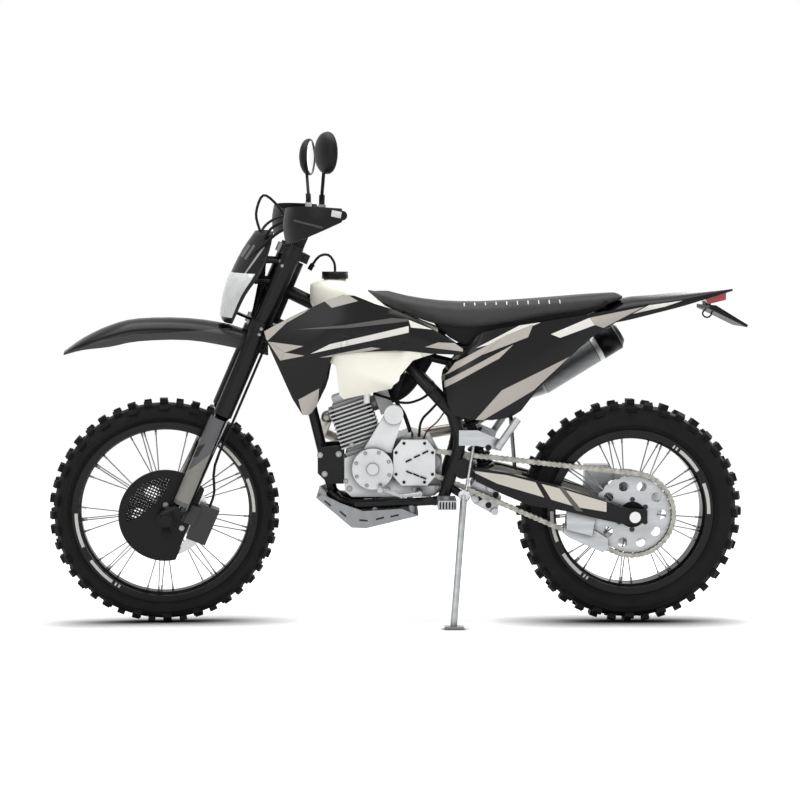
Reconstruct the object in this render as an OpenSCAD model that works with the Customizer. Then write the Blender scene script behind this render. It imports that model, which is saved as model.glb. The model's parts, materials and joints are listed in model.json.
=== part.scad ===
// Enduro motorcycle parked on its side stand, in millimetres.
// It is drawn upright: X forward, Y to its left, Z up from the ground.
// parked() then leans it over and sets it down with the origin under its middle.

/* [Parking] */
// Lean to the left on the side stand, in degrees
lean = 8; // [4:0.5:12]
// Shift of the origin along Y to the middle of the parked width
mid_y = 175; // [100:0.1:260]
// Lift that sets the lowest tyre blocks on the floor
lift = 2.4; // [0:0.01:8]

/* [Wheels] */
// Front axle ahead of the drawing origin
front_x = 876; // [860:1:900]
// Height of the front axle
front_z = 348.9; // [340:0.1:356]
// Front tyre radius over the blocks
front_r = 350; // [346:1:354]
// Rear axle on the drawing's X
rear_x = -555; // [-575:1:-540]
// Height of the rear axle
rear_z = 347.4; // [340:0.1:352]
// Rear tyre radius over the blocks
rear_r = 347; // [342:1:350]
// Block places round the front tyre, an even count
front_lugs = 44; // [36:2:52]
// Block places round the rear tyre, an even count
rear_lugs = 40; // [32:2:48]
// Spokes in each wheel, a multiple of four
spokes = 36; // [28:4:40]
// Radius of a spoke
spoke_r = 1.9; // [1.5:0.1:2.4]

/* [Steering] */
// Head point on the steering axis at the lower clamp, X
head_x = 563; // [555:1:571]
// Head point on the steering axis at the lower clamp, Z
head_z = 916; // [908:1:924]
// Rake of the steering axis from upright, in degrees
rake = 23.5; // [22:0.1:25]
// Radius of the steering stem
stem_r = 15.2; // [14:0.1:16]
// Turn of the parked steering to the left, in degrees
turn = 8; // [0:1:20]
// Sideways place of each fork leg
leg_y = 102; // [98:1:106]
// Distance of the legs ahead of the steering axis
leg_ahead = 24; // [20:1:28]
// Radius of the outer fork tubes
tube_r = 28; // [26:0.5:29]
// Radius of the inner fork tubes
slider_r = 23; // [21:0.5:24]
// Height of the upper clamp's underside over the lower clamp's middle
clamp_gap = 225; // [215:1:235]
// Radius of the handlebar
bar_r = 11; // [10:0.2:12]
// Half width of the handlebar
bar_half = 400; // [385:1:410]

/* [Frame and engine] */
// Radius of the main spars
spar_r = 18; // [16:0.5:19]
// Sideways place of the spars
spar_y = 112; // [110:1:116]
// Radius of the cradle tubes
cradle_r = 13; // [11:0.5:14]
// Half width of the crankcase
case_half = 80; // [76:1:82]
// Forward tilt of the cylinder, in degrees
cyl_tilt = 19; // [15:0.5:23]
// Cooling fins on barrel and head
fins = 11; // [7:1:12]
// Links in the drive chain
links = 112; // [104:2:116]

/* [Bodywork] */
// Wall of the panels
wall = 3; // [2:0.25:4]
// Outer face of the tank's side lobes
lobe_y = 150; // [146:1:152]

/* [Fits] */
// Gap between pieces that sit on each other
fit = 0.3; // [0.2:0.05:0.5]

/* [Hidden] */
$fn = 48;
eps = 1;
swell = 1.5;
mid_x = (front_x + front_r + rear_x - rear_r) / 2;
axle_r = 10;
axle_bore = axle_r + fit;
hub_bore = axle_r + 1;

// Curves through points
function curve(a, b, c, d, t) = 0.5 * (2 * b + (c - a) * t + (2 * a - 5 * b + 4 * c - d) * t * t
    + (3 * b - a - 3 * c + d) * t * t * t);
function smooth(p, n) = [for (i = [0:len(p) - 2]) for (k = [0:n - 1])
    curve(p[max(i - 1, 0)], p[i], p[i + 1], p[min(i + 2, len(p) - 1)], k / n), p[len(p) - 1]];
function column(g, j) = [for (r = g) r[j]];
function smooth_rows(g, n) = let (c = [for (j = [0:len(g[0]) - 1]) smooth(column(g, j), n)])
    [for (i = [0:len(c[0]) - 1]) column(c, i)];
function smooth_grid(g, n, m) = smooth_rows([for (r = g) smooth(r, m)], n);
function flat(g) = [for (r = g) each r];
function back(f) = [for (i = [len(f) - 1:-1:0]) f[i]];
function face_volume(p, f) = [for (i = [1:len(f) - 2]) cross(p[f[0]], p[f[i]]) * p[f[i + 1]]];
function total(v) = v * [for (x = v) 1];
// Mean height of a straight edge from a to b at x
function edge_z(a, b, x) = a[1] + (b[1] - a[1]) * (x - a[0]) / (b[0] - a[0]);

// A closed solid whose faces may run either way round
module solid(points, faces) {
    v = total([for (f = faces) total(face_volume(points, f))]);
    polyhedron(points, v > 0 ? [for (f = faces) back(f)] : faces);
}

// A wall over a grid of points, its back pushed off by one vector
module sheet(g, push) shell(g, [for (r = g) [for (p = r) p + push]]);

// An arched wall: its back lies lower and its sides are drawn in
module vault(g) shell(g, [for (r = g) [for (p = r) [p.x, p.y * 0.95, p.z - wall]]]);

// A wall between two grids of points
module shell(g, h) {
    n = len(g);
    m = len(g[0]);
    top = flat(g);
    under = flat(h);
    k = n * m;
    skin = [for (i = [0:n - 2]) for (j = [0:m - 2]) let (a = i * m + j) each
        [[a, a + 1, a + m + 1], [a, a + m + 1, a + m]]];
    rim = concat([for (j = [0:m - 2]) j], [for (i = [0:n - 2]) i * m + m - 1],
        [for (j = [m - 1:-1:1]) (n - 1) * m + j], [for (i = [n - 1:-1:1]) i * m]);
    edge = [for (i = [0:len(rim) - 1])
        let (a = rim[i], b = rim[(i + 1) % len(rim)]) each [[b, a, a + k], [b, a + k, b + k]]];
    lower = [for (f = skin) [for (q = back(f)) q + k]];
    solid(concat(top, under), concat(skin, edge, lower));
}

// A solid through closed loops of equal length
module loft(loops) {
    n = len(loops);
    m = len(loops[0]);
    sides = [for (i = [0:n - 2]) for (j = [0:m - 1]) let (a = i * m + j, b = i * m + (j + 1) % m)
        each [[a, b, b + m], [a, b + m, a + m]]];
    ends = [[for (j = [m - 1:-1:0]) j], [for (j = [0:m - 1]) (n - 1) * m + j]];
    solid(flat(loops), concat(sides, ends));
}

// A hose of six sides along a list of points
module hose(p, r) {
    loft([for (i = [0:len(p) - 1])
        let (d = p[min(i + 1, len(p) - 1)] - p[max(i - 1, 0)],
            t = d / norm(d),
            s = cross(t, abs(t.y) < 0.9 ? [0, 1, 0] : [1, 0, 0]),
            u = s / norm(s),
            w = cross(t, u))
        [for (k = [0:5]) p[i] + r * (cos(60 * k) * u + sin(60 * k) * w)]]);
}

// Straight round bar from a to b
module bar(a, b, r) {
    d = b - a;
    translate(a) rotate([0, acos(d.z / norm(d)), atan2(d.y, d.x)]) cylinder(r = r, h = norm(d));
}

// Bent round bar with a ball in each bend, its poles square to the bend
module bent(p, r) {
    for (i = [0:len(p) - 2]) bar(p[i], p[i + 1], r);
    for (i = [1:1:len(p) - 2]) {
        a = (p[i] - p[i - 1]) / norm(p[i] - p[i - 1]);
        b = (p[i + 1] - p[i]) / norm(p[i + 1] - p[i]);
        n = cross(a, b) / norm(cross(a, b));
        u = (a - b) / norm(a - b);
        v = cross(n, u);
        multmatrix([[u.x, v.x, n.x, p[i].x], [u.y, v.y, n.y, p[i].y], [u.z, v.z, n.z, p[i].z],
            [0, 0, 0, 1]]) sphere(r = r + swell);
    }
}

// Disc across the machine from y0 to y1
module pin(x, z, y0, y1, r) {
    translate([x, y0, z]) rotate([-90, 0, 0]) cylinder(r = r, h = y1 - y0);
}

// Plate of a side-view outline from y0 to y1
module plate(outline, y0, y1) {
    translate([0, y1, 0]) rotate([90, 0, 0]) linear_extrude(y1 - y0) polygon(outline);
}

// Ring turned from a profile of [radius, y]
module turned(x, z, profile) {
    translate([x, 0, z]) rotate([-90, 0, 0]) rotate_extrude($fn = 96) polygon(profile);
}

module both() {
    children();
    mirror([0, 1, 0]) children();
}

module steered() {
    translate([head_x, 0, head_z]) rotate([0, -rake, 0]) children();
}

// Swings the steered pieces about the steering axis to where they are parked
module swung() {
    steered() rotate([0, rake, turn]) translate([-head_x, 0, -head_z]) children();
}

module tilted() {
    translate([265, 0, 552]) rotate([0, cyl_tilt, 0]) children();
}

module parked() {
    translate([-mid_x, -mid_y, lift]) rotate([-lean, 0, 0]) children();
}

// Steering frame to drawing frame
function steer_point(x, y, z) = [head_x + x * cos(rake) - z * sin(rake), y,
    head_z + x * sin(rake) + z * cos(rake)];
axle_dx = (front_x - head_x) * cos(rake) + (front_z - head_z) * sin(rake);
axle_dz = (front_z - head_z) * cos(rake) - (front_x - head_x) * sin(rake);

// Tubes of the frame, for the left side
backbone = [[512, 0, 1032], [162, 0, 864]];
down_tube = [[548, 0, 936], [482, 0, 905], [358, 0, 394]];
spar = [[176, -8, 872], [128, 74, 802], [60, spar_y - 4, 728], [-5, spar_y, 658],
    [-28, spar_y, 585], [-22, spar_y, 545], [22, spar_y, 405]];
cradle = [[366, -8, 404], [330, 60, 386], [285, 96, 380], [48, 96, 392], [22, spar_y, 405]];
rail = [[158, 16, 866], [60, 55, 846], [-80, 62, 858], [-480, 62, 926.7]];
strut = [[-14, spar_y, 634], [-120, 92, 730], [-300, 64, 895]];
pivot = [-35, 494];
peg = [16, 403];
shock_foot = [-120, 0, 440];
shock_top = [-10, 0, 790];
rail_r = 11;
hanger = [[172, 0, 850], [-6, 0, 806]];
hanger_r = 13;
frame_hub = [171, 0, 867];
function rail_z(x) = edge_z([rail[2].x, rail[2].z], [rail[3].x, rail[3].z], x);
down_r = 16;
backbone_r = 21;
pivot_r = 30;
stand_pin = [-38, 138, 414];
stand_foot = [-4, 238, 0];
foot_at = [stand_foot.x, stand_foot.y * cos(lean), stand_foot.y * sin(lean)];
folded_dir = [-380, 40, 40];
stand_axis = cross(foot_at - stand_pin, folded_dir) / norm(cross(foot_at - stand_pin, folded_dir));

module rails(grow) {
    both() bent(rail, rail_r + grow);
    bar([-462, -62, rail_z(-462)], [-462, 62, rail_z(-462)], rail_r - 3 + grow);
}

module shock_frame() {
    d = shock_top - shock_foot;
    translate(shock_foot) rotate([0, atan2(d.x, d.z), 0]) children();
}
shock_len = norm(shock_top - shock_foot);

module main_frame() color("#141416") {
    difference() {
        union() {
            steered() cylinder(r = 30, h = clamp_gap);
            bent(backbone, backbone_r);
            bent(down_tube, down_r);
        }
        steered() translate([0, 0, -150]) cylinder(r = stem_r + fit, h = 700);
        steered() translate([-60, -60, -100]) cube([120, 120, 120]);
        steered() translate([-60, -60, clamp_gap - 5]) cube([120, 120, 100]);
    }
    translate(frame_hub) sphere(r = backbone_r + 10);
    translate([360, 0, 401]) sphere(r = down_r + 5);
    both() {
        bent(spar, spar_r);
        bent(cradle, cradle_r);
        bent(strut, rail_r - 2);
        pin(pivot[0], pivot[1], 92, 130, pivot_r);
        pin(peg[0], peg[1], 100, 150, 14);
        plate([[326, 440], [372, 440], [404, 472], [404, 552], [340, 556], [326, 540]], 60, 66);
    }
    rails(0);
    for (p = [[392, 540], [376, 472]]) pin(p[0], p[1], -66, 66, 9);
    bar(hanger[0], hanger[1], hanger_r);
    shock_frame() translate([0, 0, shock_len]) cylinder(r = 20, h = 24);
    bar(stand_pin - 46 * stand_axis, stand_pin - 10 * stand_axis, 14);
    bar([-42, 108, 408], [10, spar_y, 440], 12);
}

/* Engine */
case_outline = [[322, 420], [300, 402], [60, 402], [28, 430], [25, 520], [60, 580], [120, 600],
    [196, 566], [322, 520]];

module crankcase() color("#c6c8ca") {
    difference() {
        union() {
            plate(case_outline, -case_half, case_half);
            plate([[300, 440], [346, 440], [346, 512], [300, 522]], -60 + fit, 60 - fit);
            tilted() translate([-58, -62, -70]) cube([116, 124, 70]);
        }
        translate([-10, 62, 436]) cube([130, 60, 190]);
    }
    pin(60, 510, 50, 80, 12);
    pin(60, 510, 74, 80, 27.5);
}

module cylinder_body() color("#cfd1d3") tilted() {
    translate([-50, -58, 0]) cube([100, 116, 150]);
    for (k = [0:fins - 1]) translate([-64, -70, 14 + k * 12]) cube([128, 140, 5]);
    translate([-44, -50, 150]) cube([88, 100, 24]);
    translate([64, 0, 118]) rotate([0, 90, 0]) translate([0, 0, -20]) cylinder(r = 26, h = 22);
    translate([-66, 0, 112]) rotate([0, -90, 0]) translate([0, 0, -20]) cylinder(r = 24, h = 60);
    translate([-126, -30, 72]) cube([44, 60, 84]);
}

module engine_covers() color("#d4d6d8") {
    difference() {
        union() {
            pin(236, 492, case_half, 118, 62);
            plate([[180, 540], [145, 650], [160, 676], [190, 676], [204, 650], [262, 552]],
                case_half, 108);
            pin(173, 656, case_half, 114, 29);
        }
        translate([100, 60, 612]) cube([130, case_half - 58, 100]);
    }
    pin(236, 492, 118, 122, 17);
    plate([[48, 470], [72, 442], [150, 442], [174, 470], [174, 548], [150, 580], [72, 580],
        [48, 548]], 91, 116);
    translate([122, case_half, 446]) cube([46, 91 - case_half + eps, 120]);
    pin(205, 488, -122, -case_half, 84);
    pin(110, 500, -112, -case_half, 52);
}

pipe_port = [64 + 2, 0, 118];
function tilt_point(p) = [265 + p.x * cos(cyl_tilt) + p.z * sin(cyl_tilt), p.y,
    552 - p.x * sin(cyl_tilt) + p.z * cos(cyl_tilt)];
muffler_in = [-225, -186, 690];
muffler_dir = [-cos(31.8), 0, sin(31.8)];
pipe_r = 18;

module exhaust_pipe() color("#8f9194") difference() {
    bent([tilt_point(pipe_port), tilt_point(pipe_port + [11, 0, 0]), [398, -112, 584], [360, -152, 560],
        [120, -160, 560], [-60, -166, 590], muffler_in - 40 * muffler_dir, muffler_in], pipe_r);
    tilted() translate([0, -60, 70]) cube([pipe_port.x + fit, 120, 100]);
}

module along(a, d) {
    translate(a) rotate([0, acos(d.z), atan2(d.y, d.x)]) children();
}

module muffler() color("#a9abad") {
    along(muffler_in, muffler_dir) {
        cylinder(r1 = 24, r2 = 47, h = 90);
        translate([0, 0, 88]) cylinder(r = 47.5, h = 210);
        translate([0, 0, 296]) cylinder(r = 48.5, h = 70);
        translate([0, 0, 364]) cylinder(r1 = 48, r2 = 30, h = 18);
    }
    difference() {
        bar([-452, -160, 866], [-448, -62, 912], 7);
        rails(fit);
    }
}

/* Tank, seat and panels */
function ring(x, z0, z1, w, n, e) = [for (k = [0:n - 1])
    let (a = 360 * k / n, c = cos(a), s = sin(a))
    [x, w * sign(c) * pow(abs(c), e), (z0 + z1) / 2 + (z1 - z0) / 2 * sign(s) * pow(abs(s), e)]];

// Tank sections: x, underside, top, half width
tank_rows = [[426, 985, 1046, 46], [395, 950, 1058, 84], [330, 905, 1058, 112],
    [262, 880, 1034, 120], [200, 872, 984, 122], [131, 866, 954, 120], [40, 868, 918, 96]];
lobe = [[366, 900], [372, 820], [345, 806], [335, 718], [322, 706], [180, 738], [168, 760],
    [116, 822], [44, 845], [60, 880], [150, 910]];
cap_at = [352, 1050];

module fuel_tank() color("#f4f1e2") difference() {
    union() {
        loft([for (r = smooth(tank_rows, 2)) ring(r[0], r[1], r[2], r[3], 24, 0.62)]);
        both() plate(lobe, 94, lobe_y);
        translate([cap_at[0], 0, cap_at[1] - 40]) cylinder(r = 34, h = 52);
        both() translate([254, 118, 692]) cylinder(r = 9, h = 44);
    }
    bent(backbone, backbone_r + fit);
    both() bent(spar, spar_r + fit);
    both() bent(rail, rail_r + fit);
    bar(hanger[0], hanger[1], hanger_r + fit);
    translate(frame_hub) sphere(r = backbone_r + 10 + fit);
    both() translate([30, lobe_y - 3, 832]) cube([60, 20, 30]);
    steered() translate([0, 0, -20]) cylinder(r = 40, h = 300);
}

module tank_cap() color("#1b1b1d") {
    translate([cap_at[0], 0, cap_at[1] + 12]) cylinder(r = 40, h = 22);
    hose(smooth([[352, 0, 1083], [354, 0, 1110], [372, 0, 1134], [400, 0, 1130],
        [424, 0, 1100]], 3), 4);
}

// Shroud rows, front to rear: lower, middle and upper point of each
shroud_rows = [
    [[530, 168, 838], [545, 172, 872], [556, 168, 908]],
    [[444, 164, 660], [500, 184, 800], [520, 172, 928]],
    [[388, 160, 716], [440, 190, 820], [450, 172, 962]],
    [[366, 158, 806], [350, 188, 900], [322, 164, 1016]],
    [[345, 158, 838], [250, 184, 900], [230, 158, 990]],
    [[172, 158, 851], [150, 172, 900], [131, 152, 956]],
    [[60, 152, 842], [55, 158, 875], [48, 146, 910]],
    [[-30, 146, 838], [-36, 147, 845], [-38, 144, 852]]];

module shrouds() color("#1a1a1c") both() {
    sheet(smooth_grid(shroud_rows, 3, 3), [0, -wall, 0]);
    for (p = [[320, 872, 36], [150, 880, 17]]) pin(p[0], p[1], lobe_y, lobe_y + p[2], 9);
}

// Seat sections: x, underside, top, half width
seat_rows = [[253, 1017, 1034, 30], [200, 990, 1024, 62], [131, 962, 1006, 96],
    [30, 926, 992, 116], [-92, 920, 989, 124], [-250, 948, 998, 120], [-420, 976, 1012, 100],
    [-523, 1008, 1018, 58]];

module seat() color("#484848") difference() {
    union() {
        loft([for (r = smooth(seat_rows, 2)) ring(r[0], r[1], r[2], r[3], 20, 0.5)]);
        difference() {
            both() for (x = [-150, -380]) translate([x, rail[2].y, rail_z(x)]) cylinder(r = 9, h = 70);
            rails(fit);
        }
    }
    loft([for (r = smooth(tank_rows, 2)) ring(r[0], r[1] - 1, r[2] + 1, r[3] + 1, 24, 0.62)]);
}

// Side panel rows, front to rear: lower, middle and upper point of each
panel_rows = [
    [[22, 112, 752], [20, 113, 764], [18, 112, 776]],
    [[-9, 138, 656], [-22, 138, 760], [-46, 116, 858]],
    [[-176, 132, 650], [-140, 138, 780], [-97, 118, 905]],
    [[-259, 124, 734], [-258, 134, 830], [-252, 116, 932]],
    [[-378, 114, 853], [-386, 122, 905], [-392, 112, 955]],
    [[-455, 108, 912], [-476, 112, 945], [-486, 108, 972]],
    [[-590, 100, 984], [-592, 101, 987], [-594, 100, 990]]];

module side_panels() color("#1a1a1c") both() {
    sheet(smooth_grid(panel_rows, 3, 3), [0, -wall, 0]);
    difference() {
        pin(-340, rail_z(-340), rail[2].y, 122, 8);
        rails(fit);
    }
}

// Tail rows: x, crown, half width, edge height
tail_rows = [[-440, 962, 78, 926], [-523, 1004, 80, 940], [-620, 1014, 80, 964],
    [-705, 1022, 76, 986], [-790, 1030, 66, 1012], [-855, 1036, 48, 1030]];

// Arched shell rows from x, crown, half width and edge height
function arched(rows, shoulder, rise) = smooth_grid([for (r = rows) [[r[0], -r[2], r[3]],
    [r[0], -r[2] * shoulder, r[3] + (r[1] - r[3]) * rise], [r[0], 0, r[1]],
    [r[0], r[2] * shoulder, r[3] + (r[1] - r[3]) * rise], [r[0], r[2], r[3]]]], 3, 3);

module rear_fender() color("#19191b") {
    vault(arched(tail_rows, 0.9, 0.65));
    difference() {
        translate([-470, 0, 925]) cylinder(r = 9, h = 52);
        rails(fit);
    }
}

module mud_flap() color("#161618") {
    plate([[-190, 640], [-186, 640], [-200, 480], [-204, 480]], -50, 50);
    both() difference() {
        bar([-189, 40, 634], [-140, 89, 748], 5);
        bent(strut, rail_r - 2 + fit);
    }
}

module tail_light() color("#d8202c") difference() {
    plate([[-772, 1014], [-838, 1022], [-838, 1000], [-782, 986]], -36, 36);
    translate([-795 - fit, -22 - fit, 980]) cube([16 + 2 * fit, 44 + 2 * fit, 60]);
}

module plate_holder() color("#161618") difference() {
    union() {
        plate([[-776, 985 - fit], [-796, 985 - fit], [-893, 926], [-890, 919], [-776, 974]], -92, 92);
        translate([-795, -22, 978]) cube([16, 44, 46.3]);
    }
    for (y = [-70, 70]) translate([-850, y, 952]) rotate([0, -31.3, 0]) cylinder(r = 3, h = 80, center = true);
}

/* Lower chassis */
tray = [[407, 405], [300, 314], [256, 312], [98, 350]];
module skid_plate() color("#b0b2b4") {
    plate(concat(tray, [[98, 354], [256, 316], [298, 318], [403, 407]]), -118, 118);
    both() plate(concat(tray, [[148, 371], [265, 364], [333, 388], [384, 414]]), 114, 118);
    difference() {
        both() for (x = [120, 230]) translate([x, 96, 320]) cylinder(r = 10, h = 62);
        both() bent(cradle, cradle_r + fit);
        plate(concat(tray, [[98, 200], [404, 200]]), -200, 200);
    }
}

module footpegs() color("#c4c6c8") {
    both() difference() {
        translate([-11, 150, 388]) cube([54, 96, 28]);
        for (k = [0:3]) translate([-30, 166 + k * 20, 406]) cube([100, 10, 20]);
        translate([3, 162, 370]) cube([26, 74, 60]);
    }
    both() {
        plate([[-22, 612], [-78, 612], [-156, 580], [-148, 550], [-76, 566], [-22, 566]],
            spar_y + spar_r + swell + fit, spar_y + spar_r + 12);
        pin(-140, 566, spar_y + spar_r + 4, 164, 9);
        bar([-136, 156, 560], [-196, 158, 648], 11);
    }
}

module foot_controls() color("#b9bbbd") {
    pin(95, 420, case_half, 140, 8);
    bent([[95, 136, 420], [150, 144, 414], [212, 150, 436]], 6);
    pin(214, 438, 146, 186, 8);
    difference() {
        pin(peg[0], peg[1], -149.5, -131, 20);
        pin(peg[0], peg[1], -200, 0, 14 + fit);
    }
    bent([[35, -140, 398], [120, -150, 374], [212, -152, 404]], 6);
    pin(214, 406, -186, -146, 8);
}

arm_upper = [[-70, 497], [-160, 483], [-312, 445], [-465, 396], [-525, 374], [-594, 366]];
arm_lower = [[-75, 455], [-152, 418], [-235, 383], [-350, 364], [-465, 337], [-525, 324],
    [-594, 328]];
arm_y0 = 92;
arm_y1 = 122;

module swingarm() color("#19191b") difference() {
    union() {
        both() plate(concat(arm_upper, back(arm_lower)), arm_y0, arm_y1);
        pin(pivot[0], pivot[1], -arm_y0 + fit, arm_y0 - fit, 27);
        translate([-112, -arm_y0 - eps, 456]) cube([44, 2 * (arm_y0 + eps), 38]);
        translate([-75, -arm_y0 + fit, 462]) cube([40, 2 * (arm_y0 - fit), 40]);
    }
    pin(rear_x, rear_z, -200, 200, axle_bore);
    both() pin(pivot[0], pivot[1], arm_y0 - fit, 200, pivot_r + fit);
    shock_frame() translate([0, 0, -60]) cylinder(r = 38, h = 260);
}

module rear_axle() color("#c9cbcd") {
    pin(rear_x, rear_z, -130, 130, axle_r);
    pin(rear_x, rear_z, 76, arm_y0 - fit, 16);
    pin(rear_x, rear_z, -arm_y0 + fit, -72, 16);
    pin(rear_x, rear_z, arm_y1 + fit, 134, 17);
    pin(rear_x, rear_z, -134, -arm_y1 - fit, 17);
}

module shock() color("#2a2a2c") shock_frame() {
    cylinder(r = 16, h = shock_len);
    translate([0, 0, 40]) cylinder(r = 34, h = 8);
    translate([0, 0, shock_len - 90]) cylinder(r = 34, h = 40);
    for (k = [0:7]) translate([0, 0, 58 + k * 26]) rotate_extrude() translate([26, 0]) circle(r = 6.5, $fn = 16);
    for (k = [0:7]) translate([0, 0, 52 + k * 26]) cylinder(r = 22, h = 12);
}

module linkage() color("#c4c6c8") {
    shock_frame() translate([0, 0, -24]) cylinder(r = 18, h = 24);
    both() plate([[-66, 430], [-80, 456 - fit], [-108, 456 - fit], [-158, 398], [-140, 340],
        [-72, 378]], 42, 54);
    for (p = [[-76, 392], [-137, 352], [-124, 424]]) pin(p[0], p[1], -60, 60, 11);
}

// Chain path round two pitch circles, by distance from the top of the rear one
chain_y = 77;
rear_pitch = 126.4;
front_pitch = 33;
front_sprocket = [60, 510];
span = [front_sprocket[0] - rear_x, front_sprocket[1] - rear_z];
span_len = norm(span);
span_dir = atan2(span[1], span[0]);
wrap = asin((rear_pitch - front_pitch) / span_len);
run = span_len * cos(wrap);
front_arc = front_pitch * (180 - 2 * wrap) * PI / 180;
rear_arc = rear_pitch * (180 + 2 * wrap) * PI / 180;
loop_len = 2 * run + front_arc + rear_arc;
function on_circle(c, r, a) = [c[0] + r * cos(a), c[1] + r * sin(a)];
function chain_point(s, off) =
    let (rear = [rear_x, rear_z],
        up = span_dir + 90 - wrap,
        low = span_dir - 90 + wrap,
        u = s % loop_len)
    u < run ? on_circle(rear, rear_pitch + off, up) + u * [cos(up - 90), sin(up - 90)]
    : u < run + front_arc ?
        on_circle(front_sprocket, front_pitch + off, up - (u - run) / front_pitch * 180 / PI)
    : u < 2 * run + front_arc ?
        on_circle(front_sprocket, front_pitch + off, low)
        + (u - run - front_arc) * [cos(low - 90), sin(low - 90)]
    : on_circle(rear, rear_pitch + off, low - (u - 2 * run - front_arc) / rear_pitch * 180 / PI);
step = loop_len / links;

module chain_side(y0, y1) {
    outer = [for (k = [0:2 * links - 1]) chain_point(k * step / 2, k % 2 == 0 ? 8 : 5.5)];
    inner = [for (k = [0:2 * links - 1]) chain_point(k * step / 2, k % 2 == 0 ? -8 : -5.5)];
    n = 2 * links;
    translate([0, y1, 0]) rotate([90, 0, 0]) linear_extrude(y1 - y0)
        polygon(concat(outer, inner), [[for (k = [0:n - 1]) k], [for (k = [0:n - 1]) n + k]]);
}

module chain() color("#96948e") {
    chain_side(chain_y - 9, chain_y - 5.5);
    chain_side(chain_y + 5.5, chain_y + 9);
    for (k = [0:links - 1]) let (p = chain_point(k * step, 0))
        pin(p[0], p[1], chain_y - 7, chain_y + 7, 5);
}

module chain_guide() color("#c4c6c8") {
    top = function(x) edge_z(arm_lower[3], arm_lower[4], x) - fit;
    for (y = [89, 61]) plate([[-345, 318], [-345, 290], [-365, 276], [-465, 232], [-480, 245],
        [-480, 275], [-440, 300]], y, y + 4);
    plate([[-352, top(-352)], [-352, 305], [-430, 285], [-440, top(-440)]], 89, 104);
    plate([[-352, 342], [-352, 330], [-414, 316], [-414, 328]], 61, 92);
    plate([[-352, 342], [-352, 300], [-430, 270], [-414, 328]], 61, 65);
}

module rear_caliper() color("#b9bbbd") {
    difference() {
        translate([-505, -91, 408]) cube([78, 36, 74]);
        translate([-520, -81, 380]) cube([70, 14, 98]);
        turned(rear_x, rear_z, [[0, -82], [126, -82], [126, -67], [0, -67]]);
        turned(rear_x, rear_z, [[0, -67], [104, -67], [104, 60], [0, 60]]);
    }
    plate([[-428, 420], [-428, edge_z(arm_upper[2], arm_upper[3], -428) + fit],
        [-462, edge_z(arm_upper[2], arm_upper[3], -462) + fit], [-462, 440]], -104, -86);
}

/* Steering assembly, in the steering frame */
module legs() {
    for (s = [-1, 1]) translate([leg_ahead, s * leg_y, 0]) children();
}

module yoke(z0, z1, half) difference() {
    translate([0, 0, z0]) union() {
        translate([-half, -leg_y, 0]) cube([half + 58, 2 * leg_y, z1 - z0]);
        legs() cylinder(r = tube_r + 9, h = z1 - z0);
    }
    legs() translate([0, 0, -400]) cylinder(r = tube_r + fit, h = 800);
}

riser_x = 12;
riser_z = 299;
module triple_clamps() color("#1c1c1e") steered() {
    yoke(-15, 15, 30);
    yoke(clamp_gap, clamp_gap + 28, 30);
    cylinder(r = stem_r, h = clamp_gap + 10);
    difference() {
        for (s = [-1, 1]) translate([riser_x - 19, s * 39 - 11, clamp_gap + 27]) cube([38, 22, 68]);
        translate([riser_x, -100, riser_z]) rotate([-90, 0, 0]) cylinder(r = bar_r + fit, h = 200);
    }
}

module fork_tubes() color("#17171a") steered() legs() translate([0, 0, -290]) cylinder(r = tube_r, h = 552);

slider_foot = -604;
lug_y0 = 76;
lug_y1 = 128;
module fork_sliders() color("#b8babc") {
    steered() legs() translate([0, 0, slider_foot]) cylinder(r = slider_r, h = -290 - slider_foot);
    both() difference() {
        union() {
            pin(front_x, front_z, lug_y0, lug_y1, 25);
            steered() plate([[4, -596], [46, -596], [axle_dx + 20, axle_dz + 16],
                [axle_dx - 4, axle_dz - 22], [axle_dx - 24, axle_dz - 2]], 82, 122);
        }
        pin(front_x, front_z, 0, 200, axle_bore);
    }
}

module fork_guards() color("#55575a") both() steered() {
    difference() {
        translate([leg_ahead, leg_y, -588]) cylinder(r = 33, h = 286);
        translate([leg_ahead, leg_y, -600]) cylinder(r = 30, h = 400);
        translate([leg_ahead - 60, leg_y - 60, -600]) cube([50, 120, 400]);
        translate([leg_ahead - 60, leg_y - 60, -600]) cube([120, 44, 400]);
    }
    difference() {
        translate([leg_ahead, leg_y, -570]) cylinder(r = 31.5, h = 14);
        translate([leg_ahead, leg_y, -600]) cylinder(r = slider_r + fit, h = 400);
        translate([leg_ahead - 60, leg_y - 60, -600]) cube([50, 120, 400]);
        translate([leg_ahead - 60, leg_y - 60, -600]) cube([120, 44, 400]);
    }
}

module front_axle() color("#c9cbcd") {
    pin(front_x, front_z, -133, 133, axle_r);
    pin(front_x, front_z, 62.5, lug_y0 - fit, 15);
    pin(front_x, front_z, -lug_y0 + fit, -52, 15);
    pin(front_x, front_z, lug_y1 + fit, 137, 16);
    pin(front_x, front_z, -137, -lug_y1 - fit, 16);
}

// Front fender rows: x, crown, half width, edge height
fender_rows = [[1169, 847, 34, 841], [1110, 888, 56, 858], [1030, 925, 66, 868],
    [946, 944, 68, 884], [800, 944, 66, 886], [665, 922, 62, 862], [560, 880, 56, 836]];
module front_fender() color("#1a1a1c") {
    sheet(arched(fender_rows, 0.88, 0.6), [0, 0, -wall]);
    steered() translate([20, -24, -32]) cube([44, 48, 17]);
}

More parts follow.
